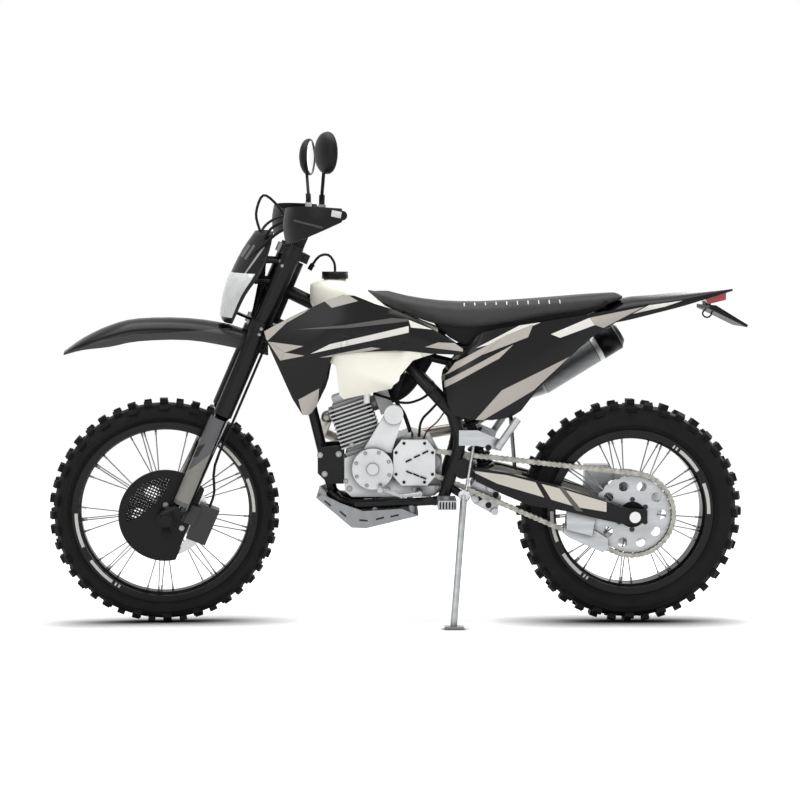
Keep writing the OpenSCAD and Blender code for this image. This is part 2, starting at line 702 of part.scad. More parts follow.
// Headlight mask rows: height, nose x, edge x, half width
mask_rows = [[1208, 594, 546, 70], [1150, 634, 560, 92], [1083, 668, 588, 110],
    [1020, 690, 632, 108], [951, 700, 664, 90], [932, 692, 672, 74]];
function mask_grid(rows, grow) = smooth_grid([for (r = rows) [for (t = [-1, -0.7, 0, 0.7, 1])
    [r[1] - (r[1] - r[2]) * t * t + grow, r[3] * t, r[0]]]], 3, 3);
module headlight_mask() color("#3a3a3d") {
    sheet(mask_grid(mask_rows, 0), [-4, 0, 0]);
    steered() translate([58, -20, 0]) cube([82, 40, 8]);
}

module headlight_lens() color("#e2e4e4") {
    face = mask_grid(mask_rows, fit);
    sheet([for (i = [6:12]) [for (j = [1:11]) face[i][j]]], [wall, 0, 0]);
}

bar_path = [[375, -bar_half, 1262], [438, -150, 1256], [455, -64, 1195], [455, 64, 1195],
    [438, 150, 1256], [375, bar_half, 1262]];
bar_out = bar_path[5] - bar_path[4];
function on_bar(t) = bar_path[4] + t * bar_out;
module handlebar() color("#1e1e20") bent(bar_path, bar_r);

module sleeve(t0, t1, r) difference() {
    bar(on_bar(t0), on_bar(t1), r);
    bar(on_bar(t0 - 0.1), on_bar(t1 + 0.1), bar_r + fit);
}

module grips() color("#161618") both() {
    sleeve(0.5, 0.985, 16.5);
    sleeve(0.5, 0.53, 22);
}

module levers() color("#8d8f92") both() {
    difference() {
        union() {
            bar(on_bar(0.34), on_bar(0.45), 17);
            translate(on_bar(0.4) + [-10, -10, 8]) cube([20, 20, 24]);
            bar(on_bar(0.4), on_bar(0.4) + [36, 0, 2], 9);
        }
        bar(on_bar(0.2), on_bar(0.6), bar_r + fit);
    }
    bent([on_bar(0.4) + [34, -2, 2], on_bar(0.5) + [50, 0, 2], on_bar(0.94) + [52, 0, 2]], 6);
}

// Handguard rows from the bar end inwards: x, y, low edge, high edge, inward x and y
guard_rows = [[372, bar_half + 24, 1244, 1282, 0, -1], [440, bar_half + 22, 1214, 1286, -0.2, -1],
    [505, bar_half - 20, 1188, 1286, -0.8, -0.7], [528, bar_half - 100, 1182, 1280, -1, -0.1],
    [512, bar_half - 190, 1196, 1272, -0.9, 0.4], [470, 160, 1216, 1262, -0.7, 0.7]];
function guard_grid(depth) = smooth_grid([for (r = guard_rows) [
    [r[0] + 7 * r[4] + depth * r[4], r[1] + 7 * r[5] + depth * r[5], r[2]],
    [r[0] + depth * r[4], r[1] + depth * r[5], (r[2] + r[3]) / 2],
    [r[0] + 7 * r[4] + depth * r[4], r[1] + 7 * r[5] + depth * r[5], r[3]]]], 3, 3);
module handguards() color("#1a1a1c") both() {
    shell(guard_grid(0), guard_grid(wall + 1));
    bar(on_bar(1), on_bar(1.085), 13);
    difference() {
        union() {
            bar(on_bar(0.06), on_bar(0.16), 16);
            bar(on_bar(0.11), [468, 162, 1239], 6);
        }
        bar(on_bar(0), on_bar(0.3), bar_r + fit);
    }
}

mirror_at = [413, bar_half - 70, 1435];
module mirrors() color("#2c2c2f") both() {
    bent([on_bar(0.4) + [0, 0, 32 + fit], on_bar(0.4) + [0, 0, 50], mirror_at + [0, -8, -40], mirror_at], 5);
    translate(mirror_at + [-14, 0, 0]) rotate([0, 90, 0]) rotate_extrude()
        polygon([[0, 0], [57, 0], [59, 6], [54, 18], [38, 28], [0, 34]]);
}

module mirror_glass() color("#dfe5ea") both()
    translate(mirror_at + [-16, 0, 0]) rotate([0, 90, 0]) cylinder(r = 52, h = 2);

module front_caliper() color("#8d8f92") steered() difference() {
    translate([axle_dx, 0, axle_dz]) {
        translate([-145, 40, -39.5]) cube([62, 46, 116]);
        translate([-91, 78, 4.5]) cube([50, 12, 60]);
    }
    translate([axle_dx, 53, axle_dz]) rotate([-90, 0, 0]) cylinder(r = 137, h = 14);
    translate([axle_dx, 0, axle_dz]) rotate([-90, 0, 0]) cylinder(r = 96, h = 67);
    translate([leg_ahead, leg_y, -700]) cylinder(r = slider_r + fit, h = 500);
    translate([4 - fit, 82 - fit, -720]) cube([80, 60, 124 + fit]);
    translate([axle_dx, 60, axle_dz]) rotate([-90, 0, 0]) cylinder(r = 25 + fit, h = 100);
}

module hoses() color("#141416") {
    steered() hose(smooth([[-52, 74, -568], [-46, 84, -520], [-14, 106, -440], [-12, 108, -300],
        [-12, 106, -120], [-12, 100, -15.4]], 3), 4);
    hose(smooth([[581, 28, 1208.4], [592, 28, 1260], [570, 28, 1314], [528, 28, 1284], [496, 28, 1232],
        steer_point(40, 28, clamp_gap + 56), steer_point(40, 28, clamp_gap + 29)], 4), 4);
}

module disc_guard() color("#151517") difference() {
    pin(front_x, front_z, 68, lug_y0 - fit, 141);
    pin(front_x, front_z, 60, 100, 17);
    steered() translate([axle_dx - 181, 30, axle_dz - 76]) cube([103, 100, 200]);
    steered() translate([axle_dx - 201, 30, axle_dz - 256]) cube([120, 100, 400]);
}

/* Wheels */
// Tyre walls: radius, y
front_wall = [[268, 32], [284, 32], [296, 42], [310, 45], [324, 42], [334, 27], [336, 10]];
rear_wall = [[242, 42], [257, 42], [272, 54], [290, 58], [308, 56], [324, 40], [331, 16]];
// Block rows: y, foot radius, width, length, lean outward, place in the pair
front_blocks = [[0, 330, 30, 24, 0, 0], [22, 326, 18, 22, 26, 1], [-22, 326, 18, 22, -26, 1],
    [37, 318, 14, 26, 52, 0], [-37, 318, 14, 26, -52, 0]];
rear_blocks = [[0, 325, 40, 24, 0, 0], [30, 319, 24, 24, 24, 1], [-30, 319, 24, 24, -24, 1],
    [43, 309, 14, 28, 40, 0], [-43, 309, 14, 28, -40, 0]];

module blocks(table, count, height) {
    for (k = [0:count - 1]) rotate([0, k * 360 / count, 0]) for (b = table)
        if (k % 2 == b[5]) translate([0, b[0], b[1]]) rotate([-b[4], 0, 0])
            translate([-b[3] / 2, -b[2] / 2, 0]) cube([b[3], b[2], height]);
}

module front_tyre() color("#1c1c1c") {
    turned(front_x, front_z, concat(front_wall, [for (p = back(front_wall)) [p[0], -p[1]]]));
    translate([front_x, 0, front_z]) blocks(front_blocks, front_lugs, front_r - 330);
}

module rear_tyre() color("#1c1c1c") {
    turned(rear_x, rear_z, concat(rear_wall, [for (p = back(rear_wall)) [p[0], -p[1]]]));
    translate([rear_x, 0, rear_z]) blocks(rear_blocks, rear_lugs, rear_r - 325);
}

module rim(x, z, inner, bead, half) {
    p = [[inner, half - 18], [inner + 7, half - 8], [inner + 7, half + 4], [bead + 13, half + 4],
        [bead + 13, half + fit], [bead - fit, half + fit]];
    turned(x, z, concat(p, [for (q = back(p)) [q[0], -q[1]]]));
}
front_bead = front_wall[0][0];
rear_bead = rear_wall[0][0];
front_inner = front_bead - 13;
rear_inner = rear_bead - 15;
module front_rim() color("#18181a") rim(front_x, front_z, front_inner, front_bead, front_wall[0][1]);
module rear_rim() color("#18181a") rim(rear_x, rear_z, rear_inner, rear_bead, rear_wall[0][1]);

// Spokes in pairs that lean forward and back, from a flange to the rim
module lacing(flange_r, flange_y, rim_r) {
    n = spokes / 2;
    for (s = [-1, 1]) for (k = [0:n - 1]) {
        a = 360 * k / n + (s > 0 ? 0 : 180 / n);
        swing = k % 2 == 0 ? 28 : -28;
        off = k % 2 == 0 ? 2.6 : -2.6;
        foot = [flange_r * sin(a), s * (flange_y + off), flange_r * cos(a)];
        head = [rim_r * sin(a + swing / 2), s * 7, rim_r * cos(a + swing / 2)];
        bar(foot, head, spoke_r);
        bar(head - 14 * (head - foot) / norm(head - foot), head, 3.2);
    }
}

module front_hub() color("#a8aaac") {
    turned(front_x, front_z, [[hub_bore, -50], [26, -50], [26, -40], [44, -38], [44, -28], [24, -20],
        [24, 20], [44, 28], [44, 38], [34, 44], [48, 50], [48, 58], [hub_bore + 12, 58], [hub_bore, 56]]);
    translate([front_x, 0, front_z]) lacing(40, 33, front_inner - 0.6);
}

module front_disc() color("#b4b6b8") difference() {
    turned(front_x, front_z, [[24, 58], [130, 58], [130, 62], [24, 62]]);
    for (k = [0:5]) translate([front_x, 0, front_z]) rotate([0, k * 60, 0]) pin(78, 0, 50, 70, 24);
}

module rear_hub() color("#1e1e20") {
    turned(rear_x, rear_z, [[hub_bore, -70], [40, -70], [48, -64], [44, -52], [52, -44], [52, -30], [32, -22],
        [32, 22], [52, 30], [52, 44], [46, 50], [63, 58], [63, 74], [hub_bore + 9, 74], [hub_bore, 72]]);
    translate([rear_x, 0, rear_z]) lacing(48, 37, rear_inner - 0.6);
}

teeth = 50;
tip_r = rear_pitch - 5.9;
module rear_sprocket() color("#d7d7d5") difference() {
    plate([for (k = [0:2 * teeth - 1]) let (a = (k + 0.5) * 180 / teeth, r = k % 4 < 2 ? tip_r : tip_r - 4)
        [rear_x + r * cos(a), rear_z + r * sin(a)]], 74, 80);
    pin(rear_x, rear_z, 60, 90, 40);
    for (k = [0:9]) translate([rear_x, 0, rear_z]) rotate([0, k * 36, 0]) pin(90, 0, 60, 90, 15);
}

module rear_disc() color("#b4b6b8") difference() {
    turned(rear_x, rear_z, [[30, -74], [120, -74], [120, -70], [30, -70]]);
    for (k = [0:5]) translate([rear_x, 0, rear_z]) rotate([0, k * 60, 0]) pin(74, 0, -90, -50, 20);
}

module side_stand() color("#aeb0b2") {
    bar(stand_pin - (10 - fit) * stand_axis, stand_pin + 9 * stand_axis, 16);
    bar(stand_pin + 2 * stand_axis, foot_at + [0, 0, 4], 10);
    rotate([lean, 0, 0]) translate([stand_foot.x - 30, stand_foot.y - 22, -lift]) cube([56, 46, 9]);
}

module stand_spring() color("#c9cbcd")
    bar([-66, spar_y + spar_r + 5, 566 - fit], stand_pin + [-6, 4, 18], 4.5);

parked() main_frame();
parked() crankcase();
parked() cylinder_body();  // cylinder
parked() engine_covers();
parked() exhaust_pipe();
parked() muffler();
parked() fuel_tank();
parked() tank_cap();
parked() shrouds();
parked() seat();
parked() side_panels();
parked() rear_fender();
parked() tail_light();
parked() plate_holder();
parked() skid_plate();
parked() footpegs();
parked() foot_controls();
parked() swingarm();
parked() rear_axle();
parked() shock();
parked() linkage();
parked() chain();
parked() chain_guide();
parked() rear_caliper();
parked() swung() triple_clamps();
parked() swung() fork_tubes();
parked() swung() fork_sliders();
parked() swung() fork_guards();
parked() swung() front_axle();
parked() swung() front_fender();
parked() swung() headlight_mask();
parked() swung() headlight_lens();
parked() swung() handlebar();
parked() swung() grips();
parked() swung() levers();
parked() swung() handguards();
parked() swung() mirrors();
parked() swung() mirror_glass();
parked() swung() front_caliper();
parked() swung() hoses();
parked() swung() disc_guard();
parked() swung() front_tyre();
parked() swung() front_rim();
parked() swung() front_hub();
parked() swung() front_disc();
parked() rear_tyre();
parked() rear_rim();
parked() rear_hub();
parked() rear_sprocket();
parked() rear_disc();
parked() side_stand();
parked() stand_spring();
parked() mud_flap();
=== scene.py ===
# %% [markdown]
# # An enduro motorcycle leaning on its side stand
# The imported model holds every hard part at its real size. This lesson dresses it: a camera at the photograph's
# place, soft studio light, a procedural finish for each surface, and the small things that a solid model leaves
# out, such as a padded seat, stitches, stripes and screws. The machine leans to its left and its steering is turned
# a little, so sizes are written for the upright, straight machine and then moved to where each body is parked.

# %% Load the model and find the upright machine's frame
import json
import math
import bmesh
import bpy
from mathutils import Matrix, Vector
from mathutils.bvhtree import BVHTree


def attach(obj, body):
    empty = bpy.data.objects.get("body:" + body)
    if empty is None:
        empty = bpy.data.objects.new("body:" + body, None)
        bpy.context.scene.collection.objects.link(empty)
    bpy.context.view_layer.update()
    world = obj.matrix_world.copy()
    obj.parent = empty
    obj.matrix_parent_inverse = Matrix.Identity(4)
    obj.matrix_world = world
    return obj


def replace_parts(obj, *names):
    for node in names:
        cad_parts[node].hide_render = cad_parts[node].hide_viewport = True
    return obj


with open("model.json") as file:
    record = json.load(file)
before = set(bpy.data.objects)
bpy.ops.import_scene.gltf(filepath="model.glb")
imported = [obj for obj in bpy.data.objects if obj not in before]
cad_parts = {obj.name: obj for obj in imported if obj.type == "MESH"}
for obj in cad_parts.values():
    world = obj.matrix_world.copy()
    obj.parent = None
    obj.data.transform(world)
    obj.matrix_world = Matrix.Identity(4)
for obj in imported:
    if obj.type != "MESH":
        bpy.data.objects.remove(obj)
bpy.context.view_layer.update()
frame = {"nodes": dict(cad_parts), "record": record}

NODES = frame["nodes"]
LEAN, RAKE, TURN = (math.radians(angle) for angle in (8.0, 23.5, 8.0))  # of the machine, the stem and the bars
CENTRED = (-0.162, -0.175, 0.0024)  # brings the leaning machine's middle over the floor's origin
PARK = Matrix.Translation(CENTRED) @ Matrix.Rotation(-LEAN, 4, "X")
HEAD, STEM = Vector((0.563, 0, 0.916)), Vector((-math.sin(RAKE), 0, math.cos(RAKE)))
SWUNG = PARK @ Matrix.Translation(HEAD) @ Matrix.Rotation(TURN, 4, STEM) @ Matrix.Translation(-HEAD)


def placed(body):
    """The move from the upright, straight machine to where a body is parked."""
    return SWUNG if body in ("steering", "front_wheel") else PARK


def parked(x, y, z, body="chassis"):
    """A point of the upright machine, in mm, placed on the parked one, in metres."""
    return placed(body) @ Vector((x / 1000, y / 1000, z / 1000))


def upright(p, body="chassis"):
    """A point of the parked machine, back on the upright one, in mm."""
    return (placed(body).inverted() @ p) * 1000


def add_object(name, data):
    """An object that shows the data, linked to the scene."""
    thing = bpy.data.objects.new(name, data)
    bpy.context.scene.collection.objects.link(thing)
    return thing


# %% [markdown]
# The photograph was taken from the left side with a longish lens, from about the height of the engine. The machine
# leans towards the camera, so the camera sees slightly more of its upper side than its height suggests.

# %% Camera
CAMERA_AT, CAMERA_TO = (0.04, 4.43, 0.465), (-0.009, -0.079, 0.686)
FILM_MM, LENS_MM = 36.0, 66.0


def aimed(place, target):
    """The turn that points a camera or a lamp from its place to a target."""
    return (Vector(target) - Vector(place)).to_track_quat("-Z", "Y").to_euler()


camera_data = bpy.data.cameras.new("photo_camera")
camera_data.sensor_width, camera_data.lens = FILM_MM, LENS_MM
camera = add_object("photo_camera", camera_data)
camera.location, camera.rotation_euler = CAMERA_AT, aimed(CAMERA_AT, CAMERA_TO)
bpy.context.scene.camera = camera
bpy.context.scene.view_settings.view_transform = "Standard"
print("camera", tuple(round(v, 3) for v in camera.location), "lens", camera_data.lens)

# %% [markdown]
# A catalogue picture has one big soft lamp overhead, weaker ones in front and behind, and a white ground. The
# ground is a real floor that takes the shadows, and its own faint glow for the camera keeps it white. Close under
# the tyres a painted shadow darkens the floor's colour and dims its glow, so that the machine stands on the ground.

# %% Floor, background and lamps
def feed(tree, node, inputs):
    """Set a node's inputs, each to a value or to the socket that feeds it."""
    for key, value in inputs.items():
        if isinstance(value, bpy.types.NodeSocket):
            tree.links.new(value, node.inputs[key])
        else:
            node.inputs[key].default_value = value


def add_node(tree, kind, inputs=None, **settings):
    """A new node with its settings and inputs."""
    node = tree.nodes.new(kind)
    for key, value in settings.items():
        setattr(node, key, value)
    feed(tree, node, inputs or {})
    return node


def calculate(tree, operation, first, second=0.0):
    """A math node's output; each input is a socket or a number."""
    return add_node(tree, "ShaderNodeMath", {0: first, 1: second}, operation=operation).outputs[0]


def blend(tree, first, second, share):
    """The first colour where the share is 0 and the second where it is 1."""
    mixed = add_node(tree, "ShaderNodeMix", {"A": first, "B": second, "Factor": share}, data_type="RGBA")
    return mixed.outputs["Result"]


def background_rays(tree):
    """1 for rays that should meet a white background: from the camera, off gloss, or through glass."""
    rays = add_node(tree, "ShaderNodeLightPath").outputs
    seen = calculate(tree, "MAXIMUM", rays["Is Camera Ray"], rays["Is Glossy Ray"])
    return calculate(tree, "MAXIMUM", seen, rays["Is Transmission Ray"])


WHITE = (1, 1, 1, 1)
SKY_LIGHT = 0.5
world = bpy.data.worlds.new("studio")
bpy.context.scene.world = world
world.use_nodes = True
tree = world.node_tree
sky = tree.nodes["Background"]
feed(tree, sky, {"Color": WHITE, "Strength": SKY_LIGHT})
backdrop = add_node(tree, "ShaderNodeBackground", {"Color": WHITE, "Strength": 1.0})
either = add_node(tree, "ShaderNodeMixShader",
                  {0: background_rays(tree), 1: sky.outputs[0], 2: backdrop.outputs[0]})
feed(tree, tree.nodes["World Output"], {"Surface": either.outputs[0]})

FLOOR_CORNERS = [(-30, -40, 0), (30, -40, 0), (30, 20, 0), (-30, 20, 0)]
GLOW = {"From Min": 1.0, "From Max": 4.0, "To Min": 0.42, "To Max": 0.75}  # distance from the middle, and strength
# the painted contact shadow under the tyres: how far it reaches, how sharply it fades, and its colour
SHADOW_PAINT_REACH, SHADOW_PAINT_POWER = 0.22, 3.0
PAINTED_SHADOW_COLOUR, PAPER_COLOUR = (0.02, 0.02, 0.02, 1), (0.9, 0.9, 0.9, 1)
floor_mesh = bpy.data.meshes.new("floor")
floor_mesh.from_pydata(FLOOR_CORNERS, [], [(0, 1, 2, 3)])
floor = add_object("floor", floor_mesh)
paper = bpy.data.materials.new("white_floor")
paper.use_nodes = True
tree = paper.node_tree
tree.nodes.remove(tree.nodes["Principled BSDF"])
place = add_node(tree, "ShaderNodeTexCoord").outputs["Object"]
distance = add_node(tree, "ShaderNodeVectorMath", {0: place}, operation="LENGTH").outputs["Value"]
fade = add_node(tree, "ShaderNodeMapRange", {"Value": distance, **GLOW}).outputs["Result"]
# painted shadow: close under the tyres the floor's own colour darkens and its glow dims, by an occlusion probe
gap = add_node(tree, "ShaderNodeAmbientOcclusion", {"Distance": SHADOW_PAINT_REACH}, samples=16).outputs["AO"]
outside_painted_shadow = calculate(tree, "POWER", gap, SHADOW_PAINT_POWER)
matt = add_node(tree, "ShaderNodeBsdfDiffuse", {"Color": blend(tree, PAINTED_SHADOW_COLOUR, PAPER_COLOUR, outside_painted_shadow)})
strength = calculate(tree, "MULTIPLY", background_rays(tree), calculate(tree, "MULTIPLY", fade, outside_painted_shadow))
glow = add_node(tree, "ShaderNodeEmission", {"Strength": strength})
both = add_node(tree, "ShaderNodeAddShader", {0: matt.outputs[0], 1: glow.outputs[0]})
feed(tree, tree.nodes["Material Output"], {"Surface": both.outputs[0]})
floor_mesh.materials.append(paper)

LAMPS_AIM = (0.0, 0.0, 0.6)
LAMPS = {  # place, width, height, watts
    "top_softbox": ((0.2, 0.6, 4.2), 4.5, 3.0, 150),
    "front_fill": ((1.6, 4.6, 2.4), 3.0, 2.0, 55),
    "rear_fill": ((-2.6, -3.2, 2.6), 2.5, 2.0, 50),
}
for name, (place, width, height, watts) in LAMPS.items():
    lamp_data = bpy.data.lights.new(name, "AREA")
    lamp_data.shape = "RECTANGLE"
    lamp_data.size, lamp_data.size_y, lamp_data.energy = width, height, watts
    lamp = add_object(name, lamp_data)
    lamp.location, lamp.rotation_euler = place, aimed(place, LAMPS_AIM)
print("lamps", list(LAMPS))

# %% [markdown]
# Every finish starts from the same few nodes: the object's own coordinates, a broad noise that shifts the colour a
# little, a fine noise that roughens the gloss, and a bump for the grain. A moulded plastic, a cast alloy and a tyre
# differ in the sizes and depths of these. Cast and machined metal also gets painted shade: darker colour in its
# crevices.

# %% Finishes
FINISH = {}
ROUGH_SPREAD, LEAST_ROUGH = 0.08, 0.02
BROAD_STOPS = (0.32, 0.68)  # the part of the broad noise over which the colour shifts
# how sharply the painted crevice shade darkens, and its darkest share of the base colour
PAINTED_SHADE_POWER, PAINTED_SHADE_DEPTH = 2.2, 0.06


def linear(*rgb):
    """Screen colour 0 to 255 as the linear colour that a shader takes."""
    return tuple(v / 255 / 12.92 if v <= 10 else ((v / 255 + 0.055) / 1.055) ** 2.4 for v in rgb)


def finish(name, rgb, rough, metal=0.0, spread=0.12, grain=700.0, depth=0.00015, stretch=(1, 1, 1), coat=0.0,
           patch=9.0, shine=0.5, painted_shade_reach=0.0):
    """A principled material whose colour, gloss and surface vary over the object's own coordinates."""
    material = FINISH[name] = bpy.data.materials.new(name)
    material.use_nodes = True
    tree = material.node_tree
    where = add_node(tree, "ShaderNodeTexCoord").outputs["Object"]
    scaled = add_node(tree, "ShaderNodeMapping", {"Vector": where, "Scale": stretch, "Rotation": (LEAN, 0, 0)})
    broad, fine = [add_node(tree, "ShaderNodeTexNoise", {"Vector": scaled.outputs[0], "Scale": scale, "Detail": detail})
                   for scale, detail in ((patch, 4.0), (grain, 2.0))]
    base = linear(*rgb)
    tint = add_node(tree, "ShaderNodeValToRGB", {"Fac": broad.outputs["Fac"]})
    for stop, position, share in zip(tint.color_ramp.elements, BROAD_STOPS, (1 - spread, 1 + spread)):
        stop.position = position
        stop.color = (*(min(v * share, 1) for v in base), 1)
    colour = tint.outputs["Color"]
    # painted shade: the colour darkens towards near black where an occlusion probe finds surfaces close by
    if painted_shade_reach:
        shade_probe = add_node(tree, "ShaderNodeAmbientOcclusion", {"Distance": painted_shade_reach}, samples=8)
        unshaded = calculate(tree, "POWER", shade_probe.outputs["AO"], PAINTED_SHADE_POWER)
        colour = blend(tree, (*(v * PAINTED_SHADE_DEPTH for v in base), 1), colour, unshaded)
    gloss = add_node(tree, "ShaderNodeMapRange", {
        "Value": fine.outputs["Fac"], "To Min": max(rough - ROUGH_SPREAD, LEAST_ROUGH),
        "To Max": min(rough + ROUGH_SPREAD, 1)})
    bump = add_node(tree, "ShaderNodeBump", {"Strength": 0.5, "Distance": depth, "Height": fine.outputs["Fac"]})
    feed(tree, tree.nodes["Principled BSDF"], {
        "Base Color": colour, "Roughness": gloss.outputs["Result"], "Normal": bump.outputs["Normal"],
        "Metallic": metal, "Coat Weight": coat, "Specular IOR Level": shine})


finish("frame_paint", (11, 11, 12), 0.32, spread=0.2, shine=0.2)
finish("cast_alloy", (204, 205, 206), 0.42, metal=0.35, grain=900, depth=0.0003, spread=0.1, painted_shade_reach=0.03)
finish("fin_alloy", (184, 185, 186), 0.48, metal=0.3, grain=800, depth=0.0003, painted_shade_reach=0.02)
finish("bare_alloy", (168, 170, 172), 0.36, metal=0.85, grain=500, stretch=(1, 1, 6), painted_shade_reach=0.02)
finish("skid_alloy", (132, 134, 136), 0.46, metal=0.6, grain=420, stretch=(8, 1, 1), spread=0.06)
finish("pipe_steel", (150, 146, 140), 0.33, metal=0.9, spread=0.25, patch=14)
finish("muffler_skin", (136, 138, 140), 0.36, metal=0.85, grain=260, stretch=(0.2, 6, 6))
finish("cream_tank", (252, 250, 236), 0.34, spread=0.03, grain=500, depth=0.00008)
finish("black_plastic", (15, 15, 16), 0.44, spread=0.15, grain=1100, depth=0.0003, shine=0.16)
finish("gloss_black", (11, 11, 12), 0.24, spread=0.15, grain=900, depth=0.00006, shine=0.18)
finish("screen_grey", (24, 24, 26), 0.3, spread=0.1, grain=900, depth=0.00006, shine=0.16)
finish("guard_grey", (84, 84, 86), 0.44, spread=0.12, grain=1000, depth=0.0002, shine=0.3)
finish("seat_vinyl", (54, 54, 55), 0.62, spread=0.1, grain=520, depth=0.0006, shine=0.3)
finish("tail_red", (206, 18, 28), 0.16, spread=0.1, grain=300, depth=0.0002, coat=0.6)
finish("axle_steel", (196, 196, 196), 0.26, metal=0.95)
finish("chain_steel", (150, 148, 142), 0.38, metal=0.8, spread=0.3, patch=60)
finish("slider_chrome", (96, 97, 99), 0.14, metal=1.0, spread=0.04, depth=0.00003)
finish("rubber", (13, 13, 13), 0.6, grain=900, depth=0.0004, shine=0.15)
finish("tyre_rubber", (17, 17, 17), 0.62, spread=0.3, grain=420, depth=0.0006, patch=20, shine=0.14)
finish("rim_black", (10, 10, 11), 0.28, spread=0.1, shine=0.2)
finish("hub_dark", (20, 20, 21), 0.4, metal=0.3, shine=0.2)
finish("disc_steel", (186, 186, 186), 0.3, metal=0.95, spread=0.15)
finish("caliper_dark", (36, 36, 38), 0.4, metal=0.3, painted_shade_reach=0.02)
finish("pale_trim", (228, 226, 220), 0.38, spread=0.03, depth=0.00005)
finish("clear_lens", (190, 192, 192), 0.12, spread=0.14, grain=300, coat=0.6, patch=16)
finish("spoke_steel", (158, 158, 158), 0.34, metal=0.4)
finish("bolt_steel", (150, 151, 153), 0.3, metal=0.8, painted_shade_reach=0.006)
finish("wire_red", (70, 26, 24), 0.5)
mirror = FINISH["mirror_face"] = bpy.data.materials.new("mirror_face")
mirror.use_nodes = True
feed(mirror.node_tree, mirror.node_tree.nodes["Principled BSDF"],
     {"Base Color": (0.86, 0.88, 0.9, 1), "Metallic": 1.0, "Roughness": 0.03})

WEARS = {
    "frame_paint": ["main_frame", "swingarm", "triple_clamps", "fork_tubes", "handlebar", "shock"],
    "cast_alloy": ["crankcase", "engine_covers"],
    "fin_alloy": ["cylinder"],
    "pipe_steel": ["exhaust_pipe"],
    "muffler_skin": ["muffler"],
    "cream_tank": ["fuel_tank"],
    "black_plastic": ["tank_cap", "rear_fender", "mud_flap", "plate_holder", "handguards", "disc_guard", "mirrors"],
    "gloss_black": ["shrouds", "side_panels", "front_fender"],
    "seat_vinyl": ["seat"],
    "tail_red": ["tail_light"],
    "skid_alloy": ["skid_plate"],
    "bare_alloy": ["footpegs", "foot_controls", "linkage", "chain_guide", "rear_sprocket",
                   "rear_caliper", "levers", "side_stand"],
    "axle_steel": ["rear_axle", "stand_spring"],
    "chain_steel": ["chain"],
    "slider_chrome": ["fork_sliders"],
    "guard_grey": ["fork_guards"],
    "screen_grey": ["headlight_mask"],
    "clear_lens": ["headlight_lens"],
    "rubber": ["grips", "hoses"],
    "mirror_face": ["mirror_glass"],
    "caliper_dark": ["front_caliper"],
    "tyre_rubber": ["front_tyre", "rear_tyre"],
    "rim_black": ["front_rim", "rear_rim"],
    "hub_dark": ["front_hub", "rear_hub", "front_axle"],
    "disc_steel": ["front_disc", "rear_disc"],
}


def wear(node, name):
    """Put a finish on all of a node."""
    for slot in NODES[node].material_slots:
        slot.material = FINISH[name]


for name, nodes in WEARS.items():
    for node in nodes:
        wear(node, name)
print("finishes", len(FINISH), "nodes dressed", sum(len(n) for n in WEARS.values()))

# %% [markdown]
# The stripes on the panels are stickers with crisp straight edges. Painting them as half-planes in the upright
# machine's side view keeps them sharp at any distance and the same on both sides: a point is inside a convex
# patch when it is on the inner side of every edge. The bare black between them has a fine woven grain. The pale
# marks on the rims are arcs round the axles, and ribs on grips, springs and the lens are waves that only bump.

# %% Striped and ribbed finishes
EDGE_SOFT = 0.5  # mm over which a patch fades
ANGLE_SOFT = 0.002


def along(tree, place, direction):
    """How far a place lies along a direction of the side view."""
    reach = add_node(tree, "ShaderNodeVectorMath", {0: place, 1: (direction.x, 0, direction.y)},
                     operation="DOT_PRODUCT")
    return reach.outputs["Value"]


def clamped(tree, value):
    """The value, held between 0 and 1."""
    return add_node(tree, "ShaderNodeClamp", {"Value": value}).outputs[0]


def patch_mask(tree, place, corners):
    """1 inside a convex patch of the side view, given by its corners in mm, and 0 outside."""
    middle = Vector((sum(c[0] for c in corners) / len(corners), sum(c[1] for c in corners) / len(corners)))
    lowest = None
    for a, b in zip(corners, corners[1:] + corners[:1]):
        edge = (Vector(b) - Vector(a)).normalized()
        inward = Vector((-edge.y, edge.x))
        if inward.dot(middle - Vector(a)) < 0:
            inward = -inward
        inside = calculate(tree, "SUBTRACT", along(tree, place, inward / EDGE_SOFT), inward.dot(Vector(a)) / EDGE_SOFT)
        lowest = inside if lowest is None else calculate(tree, "MINIMUM", lowest, inside)
    return clamped(tree, lowest)


def band(tree, value, low, high, soft):
    """1 where the value lies between low and high, with soft edges."""
    above = calculate(tree, "DIVIDE", calculate(tree, "SUBTRACT", value, low), soft)
    below = calculate(tree, "DIVIDE", calculate(tree, "SUBTRACT", high, value), soft)
    return clamped(tree, calculate(tree, "MINIMUM", above, below))


def arc_mask(tree, place, axle, low, high, start, end):
    """1 on an arc round an axle: radii in mm, angles in degrees from straight ahead, upwards."""
    offset = add_node(tree, "ShaderNodeVectorMath", {0: place, 1: (axle[0], 0, axle[1])}, operation="SUBTRACT")
    middle, half = math.radians((start + end) / 2), math.radians(abs(end - start) / 2)
    ahead = along(tree, offset.outputs["Vector"], Vector((math.cos(middle), math.sin(middle))))
    aside = along(tree, offset.outputs["Vector"], Vector((-math.sin(middle), math.cos(middle))))
    squares = [calculate(tree, "MULTIPLY", value, value) for value in (ahead, aside)]
    reach = calculate(tree, "SQRT", calculate(tree, "ADD", *squares))
    angle = calculate(tree, "ARCTAN2", aside, ahead)
    ring_band, turn_band = band(tree, reach, low, high, EDGE_SOFT), band(tree, angle, -half, half, ANGLE_SOFT)
    return calculate(tree, "MULTIPLY", ring_band, turn_band)


